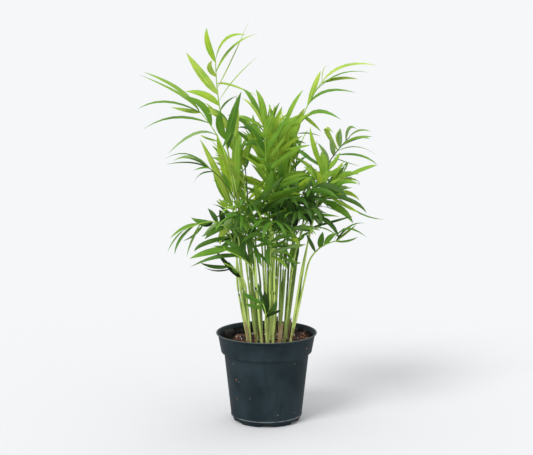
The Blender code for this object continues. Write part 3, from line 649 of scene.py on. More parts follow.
        (0.32, (15, -36, 179), (22, -45, 171), 3.6, 20, "g3"),
        (0.32, (20, -34, 193), (41, -41, 197), 5.4, 29, "d"),
        (0.56, (-7, -38, 204), (-15, -35, 196), 3.1, 59, "y1"),
    ),
    "cross": (
        (0.31, (-3, -19, 179), (1, -16, 172), 2.7, 4, "g2"),
    ),
    "juvenile": (
        (1.00, (-17, -38, 141), (-25, -40, 147), 4.4, 0, "g2"),
        (0.81, (-14, -39, 132), (-22, -43, 135), 3.8, 0, "g2"),
        (0.54, (-1, -32, 135), (-2, -33, 147), 7.2, 0, "o2"),
        (0.74, (-6, -32, 143), (-9, -29, 155), 3.9, 37, "o1"),
        (0.39, (8, -28, 128), (10, -27, 136), 4.7, 0, "o1"),
        (0.43, (10, -32, 124), (15, -36, 127), 2.8, 0, "o2"),
    ),
}

# The leaflets that a frond has by the rule: how many, the seed of their draws, the ones left out
# because they would stand before the sky that the photograph shows, and their tints
RULED = {
    "shoulder": (12, 30, (3, 5, 6, 7, 8, 9, 10, 11), ("o1", "g2", "g1")),
    "centre": (10, 32, (0, 2, 8, 9), ("g3", "g2", "g1")),
    "centre_right": (10, 4, (8, 9), ("g1", "y2", "y2")),
    "east_behind": (12, 97, (3, 4, 5, 6, 7, 8, 10, 11), ("g3", "y2")),
    "east_front": (8, 129, (7,), ("g1", "g1", "g3")),
    "east_side": (12, 5, (1, 9, 10, 11), ("o1", "g1", "g1")),
    "middle_low": (8, 81, (1, 4, 6), ("g2", "g1", "g3")),
    "cross": (8, 65, (), ("g1", "o1", "g3")),
    "heart": (16, 88, (), ("o2", "o1", "o1")),
    "heart_left": (16, 127, (), ("o1", "g2", "g1")),
    "back_crest": (20, 52, (2, 10, 15, 16, 17, 18, 19), ("g1", "y2", "y2")),
    "back_left": (20, 38, (1, 3, 5, 7, 8, 10, 12, 14, 16, 18, 19), ("g3", "g3", "y2")),
    "back_right": (20, 135, (3, 5, 7, 9, 11, 13, 15, 16, 17, 18, 19), ("g1", "g1", "y2")),
    "back_low": (20, 5, (14, 16, 18), ("o1", "g2", "g1")),
    "back_low_left": (18, 72, (8, 10, 12, 13, 14, 16, 17), ("g2", "g1", "g1")),
    "back_low_right": (18, 41, (), ("o1", "g2", "g1")),
    "back_shoulder": (18, 4, (), ("o1", "g2", "g1")),
    "east_shoulder": (18, 45, (3, 7, 9, 12, 13, 14, 15, 16, 17), ("g2", "g1", "g3")),
    "west_back": (18, 108, (1, 3, 7, 12, 14, 16, 17), ("g3", "y2")),
    "west_high": (18, 8, (1, 3, 5, 6, 8, 9, 10, 11, 12, 17), ("g1", "y1", "y1")),
    "inner_upright": (18, 124, (4, 16), ("y2", "g3", "y2")),
    "inner_left": (18, 112, (0, 7, 9, 11, 12, 13), ("y2", "g3", "y2")),
    "inner_right": (18, 88, (5, 7, 9, 11, 13, 15, 16, 17), ("g3", "y2", "y2")),
    "front_low": (16, 120, (), ("o1", "g2", "g1")),
    "front_right": (16, 9, (2, 12), ("o1", "o1", "g2")),
    "front_left": (16, 108, (9, 11, 13, 14, 15), ("g2", "g2", "g3")),
    "east_mid": (18, 50, (12, 13, 14, 15, 16, 17), ("o1", "g2", "g1")),
    "heart_right": (16, 62, (1, 13), ("o1", "o1", "g2")),
    "middle_dark": (18, 14, (), ("g2", "g3", "g1")),
    "back_middle": (18, 98, (13,), ("o1", "g1", "g3")),
}

# The fronds low at the front, whose leaflets hang, and the factor on their droop
HANGING = {"front_low", "front_left", "front_right", "heart", "heart_left", "heart_right"}
HANGING_DROOP = 1.9


# Curves and directions


def unit(vector):
    return Vector(vector).normalized()


def compass(angle, pitch=0.0):
    """The direction at a compass angle in degrees, 0 along +X and 90 along +Y, and a slope."""
    turn = math.radians(angle)
    slope = math.radians(pitch)
    level = math.cos(slope)
    return Vector((math.cos(turn) * level, math.sin(turn) * level, math.sin(slope)))


def curve_point(points, t):
    """A point of the cubic curve through the four control points."""
    u = 1 - t
    a, b, c, d = points
    return a * u**3 + b * (3 * u * u * t) + c * (3 * u * t * t) + d * t**3


def curve_slope(points, t):
    u = 1 - t
    a, b, c, d = points
    return unit((b - a) * (3 * u * u) + (c - b) * (6 * u * t) + (d - c) * (3 * t * t))


def curve_length(points, steps=24):
    marks = [curve_point(points, i / steps) for i in range(steps + 1)]
    return sum((b - a).length for a, b in zip(marks, marks[1:]))


def ease(value, low, high):
    """0 below low, 1 above high and a smooth rise between them."""
    share = min(max((value - low) / (high - low), 0.0), 1.0)
    return share * share * (3 - 2 * share)


# The rule that the plant grows by, as in the solids


def cane_axis(cane):
    return compass(cane.towards, 90 - cane.lean)


def cane_foot(cane):
    return Vector((cane.x * MM, cane.y * MM, SOIL_TOP + CLEAR))


def cane_tip(cane):
    return cane_foot(cane) + cane_axis(cane) * cane.height * MM


def sockets():
    """Where each frond's stalk stands on its cane: side by side, in the order of their headings."""
    places = {}
    for number, cane in CANES.items():
        mine = [f for f in FRONDS if f.cane == number]
        top, axis = cane_tip(cane), cane_axis(cane)

        def heading(frond, top=top):
            away = Vector(frond.tip) * MM - top
            return math.degrees(math.atan2(away.y, away.x))

        mine.sort(key=heading)
        middle = sum(heading(f) for f in mine) / max(len(mine), 1)
        reach = SOCKET_RADIUS if len(mine) > 1 else 0.0
        for k, frond in enumerate(mine):
            way = compass(middle + (k - (len(mine) - 1) / 2) * 360 / len(mine))
            places[frond.name] = top + unit(way - axis * way.dot(axis)) * reach + axis * CLEAR
    return places


def rib_curve(frond, foot, nudge):
    """The line of a frond's stalk and rib: up out of its cane, then over to its tip."""
    tip = Vector(frond.tip) * MM
    reach = (tip - foot).length
    start = cane_axis(CANES[frond.cane]) * frond.rise * reach
    end = compass(frond.aim, frond.pitch) * frond.fall * reach
    return (foot, foot + start + nudge, tip - end + nudge, tip)


def rib_frame(frond, points, t):
    """The rib's direction, its side and its upper side at a point."""
    along = curve_slope(points, t)
    level = compass(frond.back - 90)
    side = unit(level - along * level.dot(along))
    return along, side, side.cross(along)


def rib_radius(t):
    return STALK_RADIUS + (RIB_END_RADIUS - STALK_RADIUS) * t**RIB_TAPER


def leaflet_size(share):
    """Length of a leaflet at a share of the blade, against the longest one."""
    return 0.62 + 0.38 * math.sin(math.pi * (0.12 + 0.58 * share))


def cane_samples(cane):
    """Points along a cane and its radius at each."""
    shares = [i / CANE_SAMPLES for i in range(CANE_SAMPLES + 1)]
    line = [cane_foot(cane).lerp(cane_tip(cane), t) for t in shares]
    return np.array(line), np.full(len(line), cane.radius * MM * CANE_MARGIN)


def rib_samples(points):
    """Points along a rib and the radius that holds its square section at each."""
    shares = [i / RIB_SAMPLES for i in range(RIB_SAMPLES + 1)]
    line = [curve_point(points, t) for t in shares]
    return np.array(line), np.array([rib_radius(t) * RIB_MARGIN for t in shares])


def clearance(mine, others):
    """The least gap between one line of points with radii and the others."""
    line = np.concatenate([samples[0] for samples in others])
    radii = np.concatenate([samples[1] for samples in others])
    apart = np.linalg.norm(mine[0][:, None] - line[None], axis=2)
    return float((apart - mine[1][:, None] - radii[None]).min())


def grow_ribs():
    """Each frond with its rib's curve. A stalk that would touch another weaves past it."""
    canes = {number: cane_samples(cane) for number, cane in CANES.items()}
    place = sockets()
    grown = []
    near = []
    for order, frond in enumerate(FRONDS):
        draw = random.Random(FIRST_RIB_SEED + order)
        others = near + [canes[number] for number in CANES if number != frond.cane]
        for attempt in range(MOST_WEAVES):
            way = compass(draw.uniform(0, 360))
            points = rib_curve(frond, place[frond.name], way * attempt * WEAVE_STEP)
            mine = rib_samples(points)
            if clearance(mine, others) > CLEAR:
                break
        near.append(mine)
        grown.append((frond, points))
    return grown


def leaflet(frond, points, start, index, count, draw):
    """One leaflet of a blade that starts at a share of its rib, by the solids' rule."""
    share = index / max(count - 1, 1)
    hand = 1 if index % 2 else -1
    middle = start + (1 - start) * (index + 0.5) / count
    along, side, upper = rib_frame(frond, points, middle)
    angle = frond.spread + (frond.close - frond.spread) * share
    angle = math.radians(max(LEAST_ANGLE, angle + draw.uniform(-ANGLE_DRAW, ANGLE_DRAW)))
    vee = math.radians(VEE + draw.uniform(-VEE_DRAW, VEE_DRAW))
    out = side * hand * math.cos(vee) + upper * math.sin(vee)
    first = unit(along * math.cos(angle) + out * math.sin(angle))
    length = frond.leaflet * MM * leaflet_size(share) * draw.uniform(*LENGTH_DRAW)
    droop = frond.droop * draw.uniform(*DROOP_DRAW)
    root = curve_point(points, middle) + side * hand * rib_radius(middle) * 0.5
    between = unit(first - UP * droop * LEAF_MIDDLE_DROOP)
    last = unit(first - UP * droop)
    b = root + first * length * LEAF_THIRDS[0]
    c = b + between * length * LEAF_THIRDS[1]
    d = c + last * length * LEAF_THIRDS[2]
    across = unit(upper - first * upper.dot(first)).cross(first)
    across.rotate(Matrix.Rotation(math.radians(draw.uniform(-TURN_DRAW, TURN_DRAW)), 3, first))
    bow = across * length * draw.uniform(-SICKLE_DRAW, SICKLE_DRAW)
    width = length * LEAF_WIDTH_SHARE * draw.uniform(*WIDTH_DRAW)
    if index >= count - 2:
        width *= LAST_LEAFLET_WIDER
    return Leaflet((root, b + bow, c + bow, d), across, width)


# Node trees, built by expressions


class Value:
    """A node's output. Arithmetic on it adds Math nodes to its tree."""

    def __init__(self, tree, socket):
        self.tree = tree
        self.socket = socket

    def other(self, name):
        """Another output of the same node."""
        return Value(self.tree, self.socket.node.outputs[name])

    def math(self, operation, *rest):
        return self.tree.add("ShaderNodeMath", {"operation": operation}, [self, *rest])

    def __add__(self, other):
        return self.math("ADD", other)

    __radd__ = __add__

    def __sub__(self, other):
        return self.math("SUBTRACT", other)

    def __rsub__(self, other):
        return self.tree.add("ShaderNodeMath", {"operation": "SUBTRACT"}, [other, self])

    def __mul__(self, other):
        return self.math("MULTIPLY", other)

    def __abs__(self):
        return self.math("ABSOLUTE")

    def sine(self):
        return self.math("SINE")

    def over(self, low, high):
        """0 below low, 1 above high and a smooth rise between them."""
        settings = {"interpolation_type": "SMOOTHSTEP"}
        return self.tree.add("ShaderNodeMapRange", settings, {0: self, 1: low, 2: high})


class Tree:
    """A node tree that is filled by calls."""

    def __init__(self, nodes):
        self.nodes = nodes

    def add(self, kind, settings=None, inputs=None, output=0):
        """A node of any kind, its settings first, then the values or links of its sockets."""
        node = self.nodes.nodes.new(kind)
        for key, value in (settings or {}).items():
            setattr(node, key, value)
        filled = inputs.items() if isinstance(inputs, dict) else enumerate(inputs or [])
        for key, value in filled:
            if isinstance(value, Value):
                self.nodes.links.new(value.socket, node.inputs[key])
            else:
                node.inputs[key].default_value = value
        return Value(self, node.outputs[output]) if node.outputs else None


class Shape(Tree):
    """A Geometry Nodes tree with named inputs."""

    def __init__(self, name):
        super().__init__(bpy.data.node_groups.new(name, "GeometryNodeTree"))
        sockets = self.nodes.interface
        sockets.new_socket("Geometry", in_out="OUTPUT", socket_type="NodeSocketGeometry")
        self.entry = self.nodes.nodes.new("NodeGroupInput")
        self.start = self.ask("Geometry", "Geometry")

    def ask(self, name, kind, default=None):
        """A named input of the tree."""
        sockets = self.nodes.interface
        socket = sockets.new_socket(name, in_out="INPUT", socket_type=f"NodeSocket{kind}")
        if default is not None:
            socket.default_value = default
        return Value(self, self.entry.outputs[name])

    def named(self, name, kind="FLOAT"):
        """An attribute that the geometry carries."""
        return self.add("GeometryNodeInputNamedAttribute", {"data_type": kind}, [name])

    def drawn(self, kind, low, high, seed, output):
        """A random value for each point. low and high each name a socket and its value."""
        inputs = {**low, **high, "Seed": seed}
        return self.add("FunctionNodeRandomValue", {"data_type": kind}, inputs, output)

    def end(self, geometry, finish):
        """The tree's result, made real and given its material."""
        real = self.add("GeometryNodeRealizeInstances", inputs=[geometry])
        inputs = {"Geometry": real, "Material": finish}
        dressed = self.add("GeometryNodeSetMaterial", inputs=inputs)
        leave = self.nodes.nodes.new("NodeGroupOutput")
        self.nodes.links.new(dressed.socket, leave.inputs[0])
        return self.nodes


def sweep_tree():
    """A section swept along lines, each of whose points has a girth and a breadthwise direction."""
    shape = Shape("Sweep a section along lines")
    section = shape.ask("Section", "Object")
    finish = shape.ask("Finish", "Material")
    lines = shape.add("GeometryNodeMeshToCurve", inputs=[shape.start])
    inputs = {"Curve": lines, "Normal": shape.named("breadthwise", "FLOAT_VECTOR")}
    lines = shape.add("GeometryNodeSetCurveNormal", {"mode": "FREE"}, inputs)
    outline = shape.add("GeometryNodeObjectInfo", inputs=[section], output="Geometry")
    outline = shape.add("GeometryNodeMeshToCurve", inputs=[outline])
    inputs = {"Curve": lines, "Profile Curve": outline}
    inputs |= {"Scale": shape.named("girth"), "Fill Caps": True}
    swept = shape.add("GeometryNodeCurveToMesh", inputs=inputs)
    smooth = shape.add("GeometryNodeSetShadeSmooth", inputs=[swept])
    return shape.end(smooth, finish)


def strew_tree():
    """Small pieces strewn over the upward faces of a surface, each turned and sized at random."""
    shape = Shape("Strew pieces over a surface")
    model = shape.ask("Model", "Object")
    density = shape.ask("Density", "Float", 1000.0)
    least = shape.ask("Least size", "Float", 0.5)
    most = shape.ask("Most size", "Float", 1.0)
    flatness = shape.ask("Flatness", "Float", 0.0)
    seed = shape.ask("Seed", "Int", 1)
    finish = shape.ask("Finish", "Material")
    upright = shape.add("GeometryNodeInputNormal")
    upright = shape.add("ShaderNodeSeparateXYZ", inputs=[upright], output=2)
    inputs = [upright, LEAST_UPRIGHT]
    upright = shape.add("FunctionNodeCompare", {"operation": "GREATER_THAN"}, inputs)
    inputs = {"Mesh": shape.start, "Selection": upright, "Density": density, "Seed": seed}
    points = shape.add("GeometryNodeDistributePointsOnFaces", inputs=inputs)
    tilt = (1 - flatness) * math.pi
    reach = shape.add("ShaderNodeCombineXYZ", inputs=[tilt, tilt, math.pi])
    back = shape.add("ShaderNodeVectorMath", {"operation": "SCALE"}, {0: reach, "Scale": -1.0})
    turn = shape.drawn("FLOAT_VECTOR", {0: back}, {1: reach}, seed, output=0)
    turn = shape.add("FunctionNodeEulerToRotation", inputs=[turn])
    size = shape.drawn("FLOAT", {2: least}, {3: most}, seed, output=1)
    copy = shape.add("GeometryNodeObjectInfo", inputs=[model], output="Geometry")
    inputs = {"Points": points, "Instance": copy, "Rotation": turn, "Scale": size}
    strewn = shape.add("GeometryNodeInstanceOnPoints", inputs=inputs)
    return shape.end(strewn, finish)


def relief_tree():
    """A surface raised and sunk along its normals by noise that is drawn out along Z."""
    shape = Shape("Raise a relief")
    depth = shape.ask("Depth", "Float", 0.0002)
    scale = shape.ask("Scale", "Float", 500.0)
    stretch = shape.ask("Stretch", "Float", 1.0)
    finish = shape.ask("Finish", "Material")
    squeeze = shape.add("ShaderNodeCombineXYZ", inputs=[1.0, 1.0, stretch])
    place = shape.add("GeometryNodeInputPosition")
    place = shape.add("ShaderNodeVectorMath", {"operation": "MULTIPLY"}, [place, squeeze])
    inputs = {"Vector": place, "Scale": scale, "Detail": 3.0}
    height = (shape.add("ShaderNodeTexNoise", inputs=inputs) - 0.5) * 2 * depth
    normal = shape.add("GeometryNodeInputNormal")
    inputs = {0: normal, "Scale": height}
    offset = shape.add("ShaderNodeVectorMath", {"operation": "SCALE"}, inputs)
    inputs = {"Geometry": shape.start, "Offset": offset}
    return shape.end(shape.add("GeometryNodeSetPosition", inputs=inputs), finish)


def settled(piece):
    """The piece as its modifiers make it, as a plain mesh with none left on it."""
    bpy.context.view_layer.update()
    graph = bpy.context.evaluated_depsgraph_get()
    mesh = bpy.data.meshes.new_from_object(piece.evaluated_get(graph))
    piece.modifiers.clear()
    piece.data = mesh
    return piece


def shaped(piece, tree, **values):
    """The piece as a tree makes it, with the values on the tree's inputs of those names."""
    modifier = piece.modifiers.new(tree.name, "NODES")
    modifier.node_group = tree
    for socket in tree.interface.items_tree:
        key = socket.name.lower().replace(" ", "_")
        if socket.in_out == "INPUT" and key in values:
            modifier[socket.identifier] = values[key]
    return settled(piece)


# Finishes


class Look(Tree):
    """A material whose surface is built from expressions."""

    def __init__(self, name):
        self.material = bpy.data.materials.new(name)
        self.material.use_nodes = True
        super().__init__(self.material.node_tree)
        self.nodes.nodes.clear()
        self.place = self.add("ShaderNodeTexCoord", output="Object")

    def attribute(self, name):
        """A number that the mesh carries along with it."""
        return self.add("ShaderNodeAttribute", {"attribute_name": name}, output="Fac")

    def height(self):
        return self.add("ShaderNodeSeparateXYZ", inputs=[self.place], output=2)

    def radius(self):
        """The distance from the Z axis."""
        level = self.add("ShaderNodeVectorMath", {"operation": "MULTIPLY"}, [self.place, (1, 1, 0)])
        return self.add("ShaderNodeVectorMath", {"operation": "LENGTH"}, [level], output="Value")

    def noise(self, scale, detail=3.0, stretch=(1, 1, 1)):
        """Noise over the object's own space, from 0 to 1, drawn out where stretch is under 1."""
        place = self.add("ShaderNodeVectorMath", {"operation": "MULTIPLY"}, [self.place, stretch])
        inputs = {"Vector": place, "Scale": scale, "Detail": detail}
        return self.add("ShaderNodeTexNoise", inputs=inputs)

    def specks(self, scale, size, share):
        """1 inside small round spots, of which only a share of the cells have one."""
        cells = self.add("ShaderNodeTexVoronoi", inputs={"Vector": self.place, "Scale": scale})
        picked = self.add("ShaderNodeSeparateColor", inputs=[cells.other("Color")])
        return (1 - cells.over(size * 0.6, size)) * (1 - picked.over(share, share + 0.01))

    def mix(self, factor, one, two):
        """One colour where the factor is 0 and the other where it is 1."""
        inputs = {0: factor}
        for key, color in ((6, one), (7, two)):
            inputs[key] = color if isinstance(color, Value) else (*color, 1)
        return self.add("ShaderNodeMix", {"data_type": "RGBA"}, inputs, output=2)

    def bump(self, height, distance):
        inputs = {"Height": height, "Distance": distance, "Strength": 1.0}
        return self.add("ShaderNodeBump", inputs=inputs)

    def surface(self, color, roughness, normal=None, gloss=0.5, through=0.0):
        """The shader, with a share of light let through where the piece is a thin leaf."""
        inputs = {"Base Color": color, "Roughness": roughness, "Specular IOR Level": gloss}
        if normal:
            inputs["Normal"] = normal
        shader = self.add("ShaderNodeBsdfPrincipled", inputs=inputs)
        if through:
            glow = self.add("ShaderNodeBsdfTranslucent", inputs=[color])
            shader = self.add("ShaderNodeMixShader", inputs=[through, shader, glow])
        self.add("ShaderNodeOutputMaterial", inputs=[shader])
        return self.material


def leaf_look(name, color):
    """A thin pleated leaf, paler along its midrib and towards its tip.

    It is faintly streaked along its veins, and a dark one is less glossy.
    """
    look = Look(name)
    across = look.attribute("across")
    along = look.attribute("along")
    pale = tuple(min(1.0, part * 1.35 + 0.03) for part in color)
    deep = tuple(part * share for part, share in zip(color, LEAF_DEEPER))
    midrib = 1 - abs(across).over(0.03, 0.12)
    veins = (across * 26).sine() * 0.5 + (across * 9).sine()
    mottle = look.noise(70, 2) + veins * 0.12
    tone = look.mix(mottle.over(0.3, 0.6), deep, color)
    tone = look.mix(along.over(0.45, 1.0) * 0.5, tone, pale)
    tone = look.mix(midrib * 0.55, tone, pale)
    normal = look.bump(veins * 0.35 - midrib, 0.12 * MM)
    rough = 0.40 + look.noise(300, 2) * 0.16
    gloss = min(0.26, 0.08 + color[1])
    return look.surface(tone, rough, normal, gloss, LEAF_THROUGH)


def stalk_look(name, foot, tip):
    """A smooth leaf stalk, pale at its foot and green towards the blade."""
    look = Look(name)
    along = look.attribute("along")
    streak = look.noise(260, 3, (1, 1, 0.08))
    tone = look.mix(along.over(0.1, 0.8), foot, tip)
    tone = look.mix(streak.over(0.45, 0.7) * 0.7, tone, tuple(part * 0.4 for part in tip))
    low = 1 - look.height().over(SOIL_TOP, SOIL_TOP + 60 * MM)
    tone = look.mix(low * 0.4, tone, STALK_LOW)
    spot = look.noise(230, 4, (1, 1, 0.4)).over(0.63, 0.68)
    tone = look.mix(spot * (low * 0.7), tone, STALK_SPOT)
    normal = look.bump(streak, 0.1 * MM)
    return look.surface(tone, 0.38 + streak * 0.15, normal, gloss=0.35)


def cane_look():
    """A pale green stem, streaked along its length, with brown dry marks near the soil."""
    look = Look("Cane")
    streak = look.noise(420, 4, (1, 1, 0.06))
    blotch = look.noise(120, 4, (1, 1, 0.35))
    height = look.height()
    tone = look.mix(streak.over(0.40, 0.62), CANE_GREEN, CANE_STREAK)
    low = 1 - height.over(SOIL_TOP, SOIL_TOP + 45 * MM)
    tone = look.mix(low * 0.40, tone, CANE_LOW)
    tone = look.mix(blotch.over(0.58, 0.66) * (0.3 + low * 0.6), tone, CANE_DRY)
    ring = (height * 620 + blotch * 5).sine().over(0.93, 1.0)
    tone = look.mix(ring * 0.35, tone, CANE_RING)
    normal = look.bump(streak + ring * 0.3, 0.25 * MM)
    return look.surface(tone, 0.45 + streak * 0.2, normal)


def sheath_look():
    """A dry papery leaf base, tan with darker brown veins."""
    look = Look("Dry sheath")
    streak = look.noise(500, 4, (1, 1, 0.05))
    blotch = look.noise(160, 3)
    tone = look.mix(streak.over(0.3, 0.7), SHEATH_TAN, SHEATH_VEIN)
    tone = look.mix(blotch.over(0.5, 0.8) * 0.7, tone, SHEATH_BLOTCH)
    return look.surface(tone, 0.75, look.bump(streak, 0.3 * MM), through=0.1)


def highlight_and_wear_line(height, at, width, fade):
    """1 on a level line round the pot and 0 away from it."""
    return 1 - abs(height - at).over(width, fade)


def pot_look():
    """Blue-black moulded plastic: satin, with scuffs, specks of potting mix and a worn band edge.

    Its lip and ledge carry painted highlights, and its inner wall carries painted shade.
    """
    look = Look("Pot plastic")
    height = look.height()
    cloud = look.noise(28, 5)
    grain = look.noise(900, 2)
    scuff = look.noise(90, 5, (1, 1, 0.5))
    streak = look.noise(150, 3, (1, 1, 0.12))
    tone = look.mix(cloud.over(0.3, 0.7), POT_DARK, POT_LIGHT)
    tone = look.mix(streak.over(0.5, 0.75) * 0.35, tone, POT_STREAK)
    tone = look.mix(scuff.over(0.62, 0.80) * 0.5, tone, POT_SCUFF)
    # Painted highlight: the top of the lip is turned pale all the way round
    lip = height.over(POT_HEIGHT - 0.8 * MM, POT_HEIGHT - 0.25 * MM)
    tone = look.mix(lip * 0.6, tone, POT_LIP_HIGHLIGHT)
    # Painted highlight along the ledge's edge, made patchy by the scuff noise
    ledge = highlight_and_wear_line(height, POT_LEDGE_HEIGHT + 0.55 * MM, 0.25 * MM, 0.75 * MM)
    tone = look.mix(ledge * (scuff.over(0.3, 0.6) * 0.7), tone, POT_LEDGE_HIGHLIGHT)
    band = highlight_and_wear_line(height, POT_HEIGHT - POT_BAND_HEIGHT + 0.5 * MM, 0.2 * MM, 0.7 * MM)
    tone = look.mix(band * (scuff.over(0.5, 0.7) * 0.4), tone, POT_WORN_BAND)
    for scale, size, share, color in POT_SPECKS:
        tone = look.mix(look.specks(scale, size, share), tone, color)
    # Painted shade: the inner wall above the soil is darkened to near black, with real smudges of
    # potting mix over it
    slope = (POT_BAND_TOP_RADIUS - POT_BAND_FOOT_RADIUS) / POT_BAND_HEIGHT
    middle = POT_BAND_TOP_RADIUS - POT_WALL / 2 - POT_HEIGHT * slope
    inside = (height * slope + middle - look.radius()).over(0, 0.3 * MM)
    inside = inside * height.over(SOIL_TOP - 8 * MM, SOIL_TOP - 7 * MM)
    smudge = look.noise(110, 5).over(0.52, 0.68)
    smudge = smudge * (0.2 + height.over(SOIL_TOP, POT_HEIGHT)) * 0.7
    inner = look.mix(smudge, POT_INSIDE_SHADE, POT_SMUDGE)
    tone = look.mix(inside * (1 - lip), tone, inner)
    rough = 0.50 + cloud * 0.14 + scuff.over(0.55, 0.8) * 0.15
    normal = look.bump(grain * 0.4 + scuff, 0.12 * MM)
    return look.surface(tone, rough, normal, gloss=0.10)


def soil_look():
    """Moist peat and bark fibre, with painted shade in its hollows."""
    look = Look("Potting mix")
    clump = look.noise(240, 5)
    fine = look.noise(900, 3)
    # Painted shade: the same noise lowers the bump and darkens the colour, so the hollows come out
    # dark
    tone = look.mix(clump.over(0.35, 0.65), MIX_DARK, MIX_LIGHT)
    tone = look.mix(fine.over(0.6, 0.75) * 0.6, tone, MIX_FLECK)
    return look.surface(tone, 0.92, look.bump(clump + fine * 0.4, 1.2 * MM))


def bark_look(name, light, dark):
    """A crumb or fibre of bark."""
    look = Look(name)
    fine = look.noise(700, 3)
    tone = look.mix(fine.over(0.35, 0.7), dark, light)
    return look.surface(tone, 0.9, look.bump(fine, 0.3 * MM))


def perlite_look():
    look = Look("Perlite")
    fine = look.noise(1500, 3)
    tone = look.mix(fine.over(0.3, 0.7), PERLITE_DARK, PERLITE_LIGHT)
    return look.surface(tone, 0.95, look.bump(fine, 0.4 * MM))


# Shapes


def add_piece(name, data):
    """An object in the scene, from a mesh, a light or a camera."""
    piece = bpy.data.objects.new(name, data)
    bpy.context.scene.collection.objects.link(piece)
    return piece


def mesh_of(name, shape):
    """A mesh from a bmesh, which is freed."""
    mesh = bpy.data.meshes.new(name)
    shape.to_mesh(mesh)
    shape.free()
    return mesh


def lines_piece(name, runs):
    """Lines as one mesh of edges. Each run is a list of (place, girth, breadthwise, along)."""
    verts, edges, girths, breadths, shares = [], [], [], [], []
    for run in runs:
        edges += [(len(verts) + i, len(verts) + i + 1) for i in range(len(run) - 1)]
        for place, girth, breadth, along in run:
            verts.append(place)
            girths.append(girth)
            breadths.append(breadth)
            shares.append(along)
    mesh = bpy.data.meshes.new(name)
    mesh.from_pydata(verts, edges, [])
    for key, values in (("girth", girths), ("along", shares)):
        mesh.attributes.new(key, "FLOAT", "POINT").data.foreach_set("value", values)
    flat = [part for breadth in breadths for part in breadth]
    mesh.attributes.new("breadthwise", "FLOAT_VECTOR", "POINT").data.foreach_set("vector", flat)
    return add_piece(name, mesh)


def section(name, outline):
    """A closed outline to sweep, which carries each point's place across it."""
    mesh = bpy.data.meshes.new(name)
    count = len(outline)
    edges = [(i, (i + 1) % count) for i in range(count)]
    mesh.from_pydata([(x, y, 0) for x, y in outline], edges, [])
    across = mesh.attributes.new("across", "FLOAT", "POINT")
    across.data.foreach_set("value", [x for x, _ in outline])
    return add_piece(name, mesh)


def leaf_section():
    """A leaflet's section for a half width of 1: a low roof with sharp edges."""
    return section("leaf_section", LEAF_UPPER_SIDE + LEAF_UNDER_SIDE)


def stalk_section(sides, channel):
    """A round section of radius 1 with a channel along its upper side."""
    outline = []
    for k in range(sides):
        turn = math.pi / 2 - 2 * math.pi * k / sides
        depth = channel if k == 0 else 0.0
        outline.append((math.cos(turn) * (1 - depth), math.sin(turn) * (1 - depth)))
    return section("stalk_section", outline)


def swept(name, runs, outline, finish):
    piece = shaped(lines_piece(name, runs), SWEEP, section=outline, finish=finish)
    bpy.data.objects.remove(outline)
    return piece


def leaf_breadth(t):
    """Breadth of a leaflet at a share of its length, against its widest."""
    if t < LEAF_WIDEST:
        x = t / LEAF_WIDEST
        return LEAF_FOOT_BREADTH + (1 - LEAF_FOOT_BREADTH) * x * (2 - x)
    x = (t - LEAF_WIDEST) / (1 - LEAF_WIDEST)
    return max(LEAF_TIP_BREADTH, 1 - x**LEAF_TIP_CURVE)


def leaflet_run(item, twist):
    """A leaflet's line to sweep, with a twist in radians that grows towards its tip."""
    run = []
    for t in LEAF_STATIONS:
        way = curve_slope(item.points, t)
        across = unit(item.across - way * item.across.dot(way))
        across.rotate(Matrix.Rotation(twist * t, 3, way))
        girth = item.width / 2 * leaf_breadth(t)
        run.append((curve_point(item.points, t), girth, across, t))
    return run


def shown_leaflet(points, share, middle, tip, width, turn):
    """A leaflet from its rib through a middle to a tip.

    Its upper side faces the camera, and then turns upward by the turn in degrees.
    """
    root = curve_point(points, share)
    middle, tip = Vector(middle) * MM, Vector(tip) * MM
    bend = middle * 2 - (root + tip) / 2
    curve = (root, root.lerp(bend, 2 / 3), tip.lerp(bend, 2 / 3), tip)
    chord = unit(tip - root)
    front = unit(TO_CAMERA - chord * chord.dot(TO_CAMERA))
    across = front.cross(chord)
    hand = 1 if chord.cross(front).z > 0 else -1
    across.rotate(Matrix.Rotation(math.radians(turn * hand), 3, chord))
    return Leaflet(curve, across, width * SHOWN_WIDER * MM)


def rule_leaflets(frond, points):
    """The leaflets that a frond has by the rule, each with its twist and its tint."""
    if frond.name not in RULED:
        return []
    count, seed, left_out, tints = RULED[frond.name]
    draw = random.Random(seed)
    start = 1 - frond.blade * MM / curve_length(points)
    if frond.name in HANGING:
        frond = frond._replace(droop=frond.droop * HANGING_DROOP)
    items = []
    for index in range(count):
        item = leaflet(frond, points, start, index, count, draw)
        twist = draw.uniform(-TWIST_DRAW, TWIST_DRAW)
        tint = draw.choice(tints)
        if index not in left_out:
            items.append((item, twist, tint))
    return items


def shown_leaflets(frond, points, draw):
    """The leaflets of a frond that the photograph shows, each with its twist and its tint."""
    items = []
    for *row, tint in SHOWN.get(frond.name, ()):
        twist = draw.uniform(-SHOWN_TWIST_DRAW, SHOWN_TWIST_DRAW)
        items.append((shown_leaflet(points, *row), twist, tint))
    return items


def make_leaflets(grown):
    """The leaflets of every frond, joined by tint."""
    runs = {tint: [] for tint in LEAF_TINTS}
    nodes = {tint: set() for tint in LEAF_TINTS}
    for order, (frond, points) in enumerate(grown):
        items = shown_leaflets(frond, points, random.Random(order))
        for item, twist, tint in items + rule_leaflets(frond, points):
            runs[tint].append(leaflet_run(item, math.radians(twist)))
            nodes[tint].add(f"frond_{frond.name}")
    for tint, color in LEAF_TINTS.items():
        finish = leaf_look(f"Leaf {tint}", color)
        piece = swept(f"leaflets_{tint}", runs[tint], leaf_section(), finish)
        piece.data.set_sharp_from_angle(angle=math.radians(LEAF_SHARP_ANGLE))
        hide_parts(*sorted(nodes[tint]))
        age = next(age for age, tints in TINTS_OF_AGE.items() if tint in tints)
        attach(piece, "root")


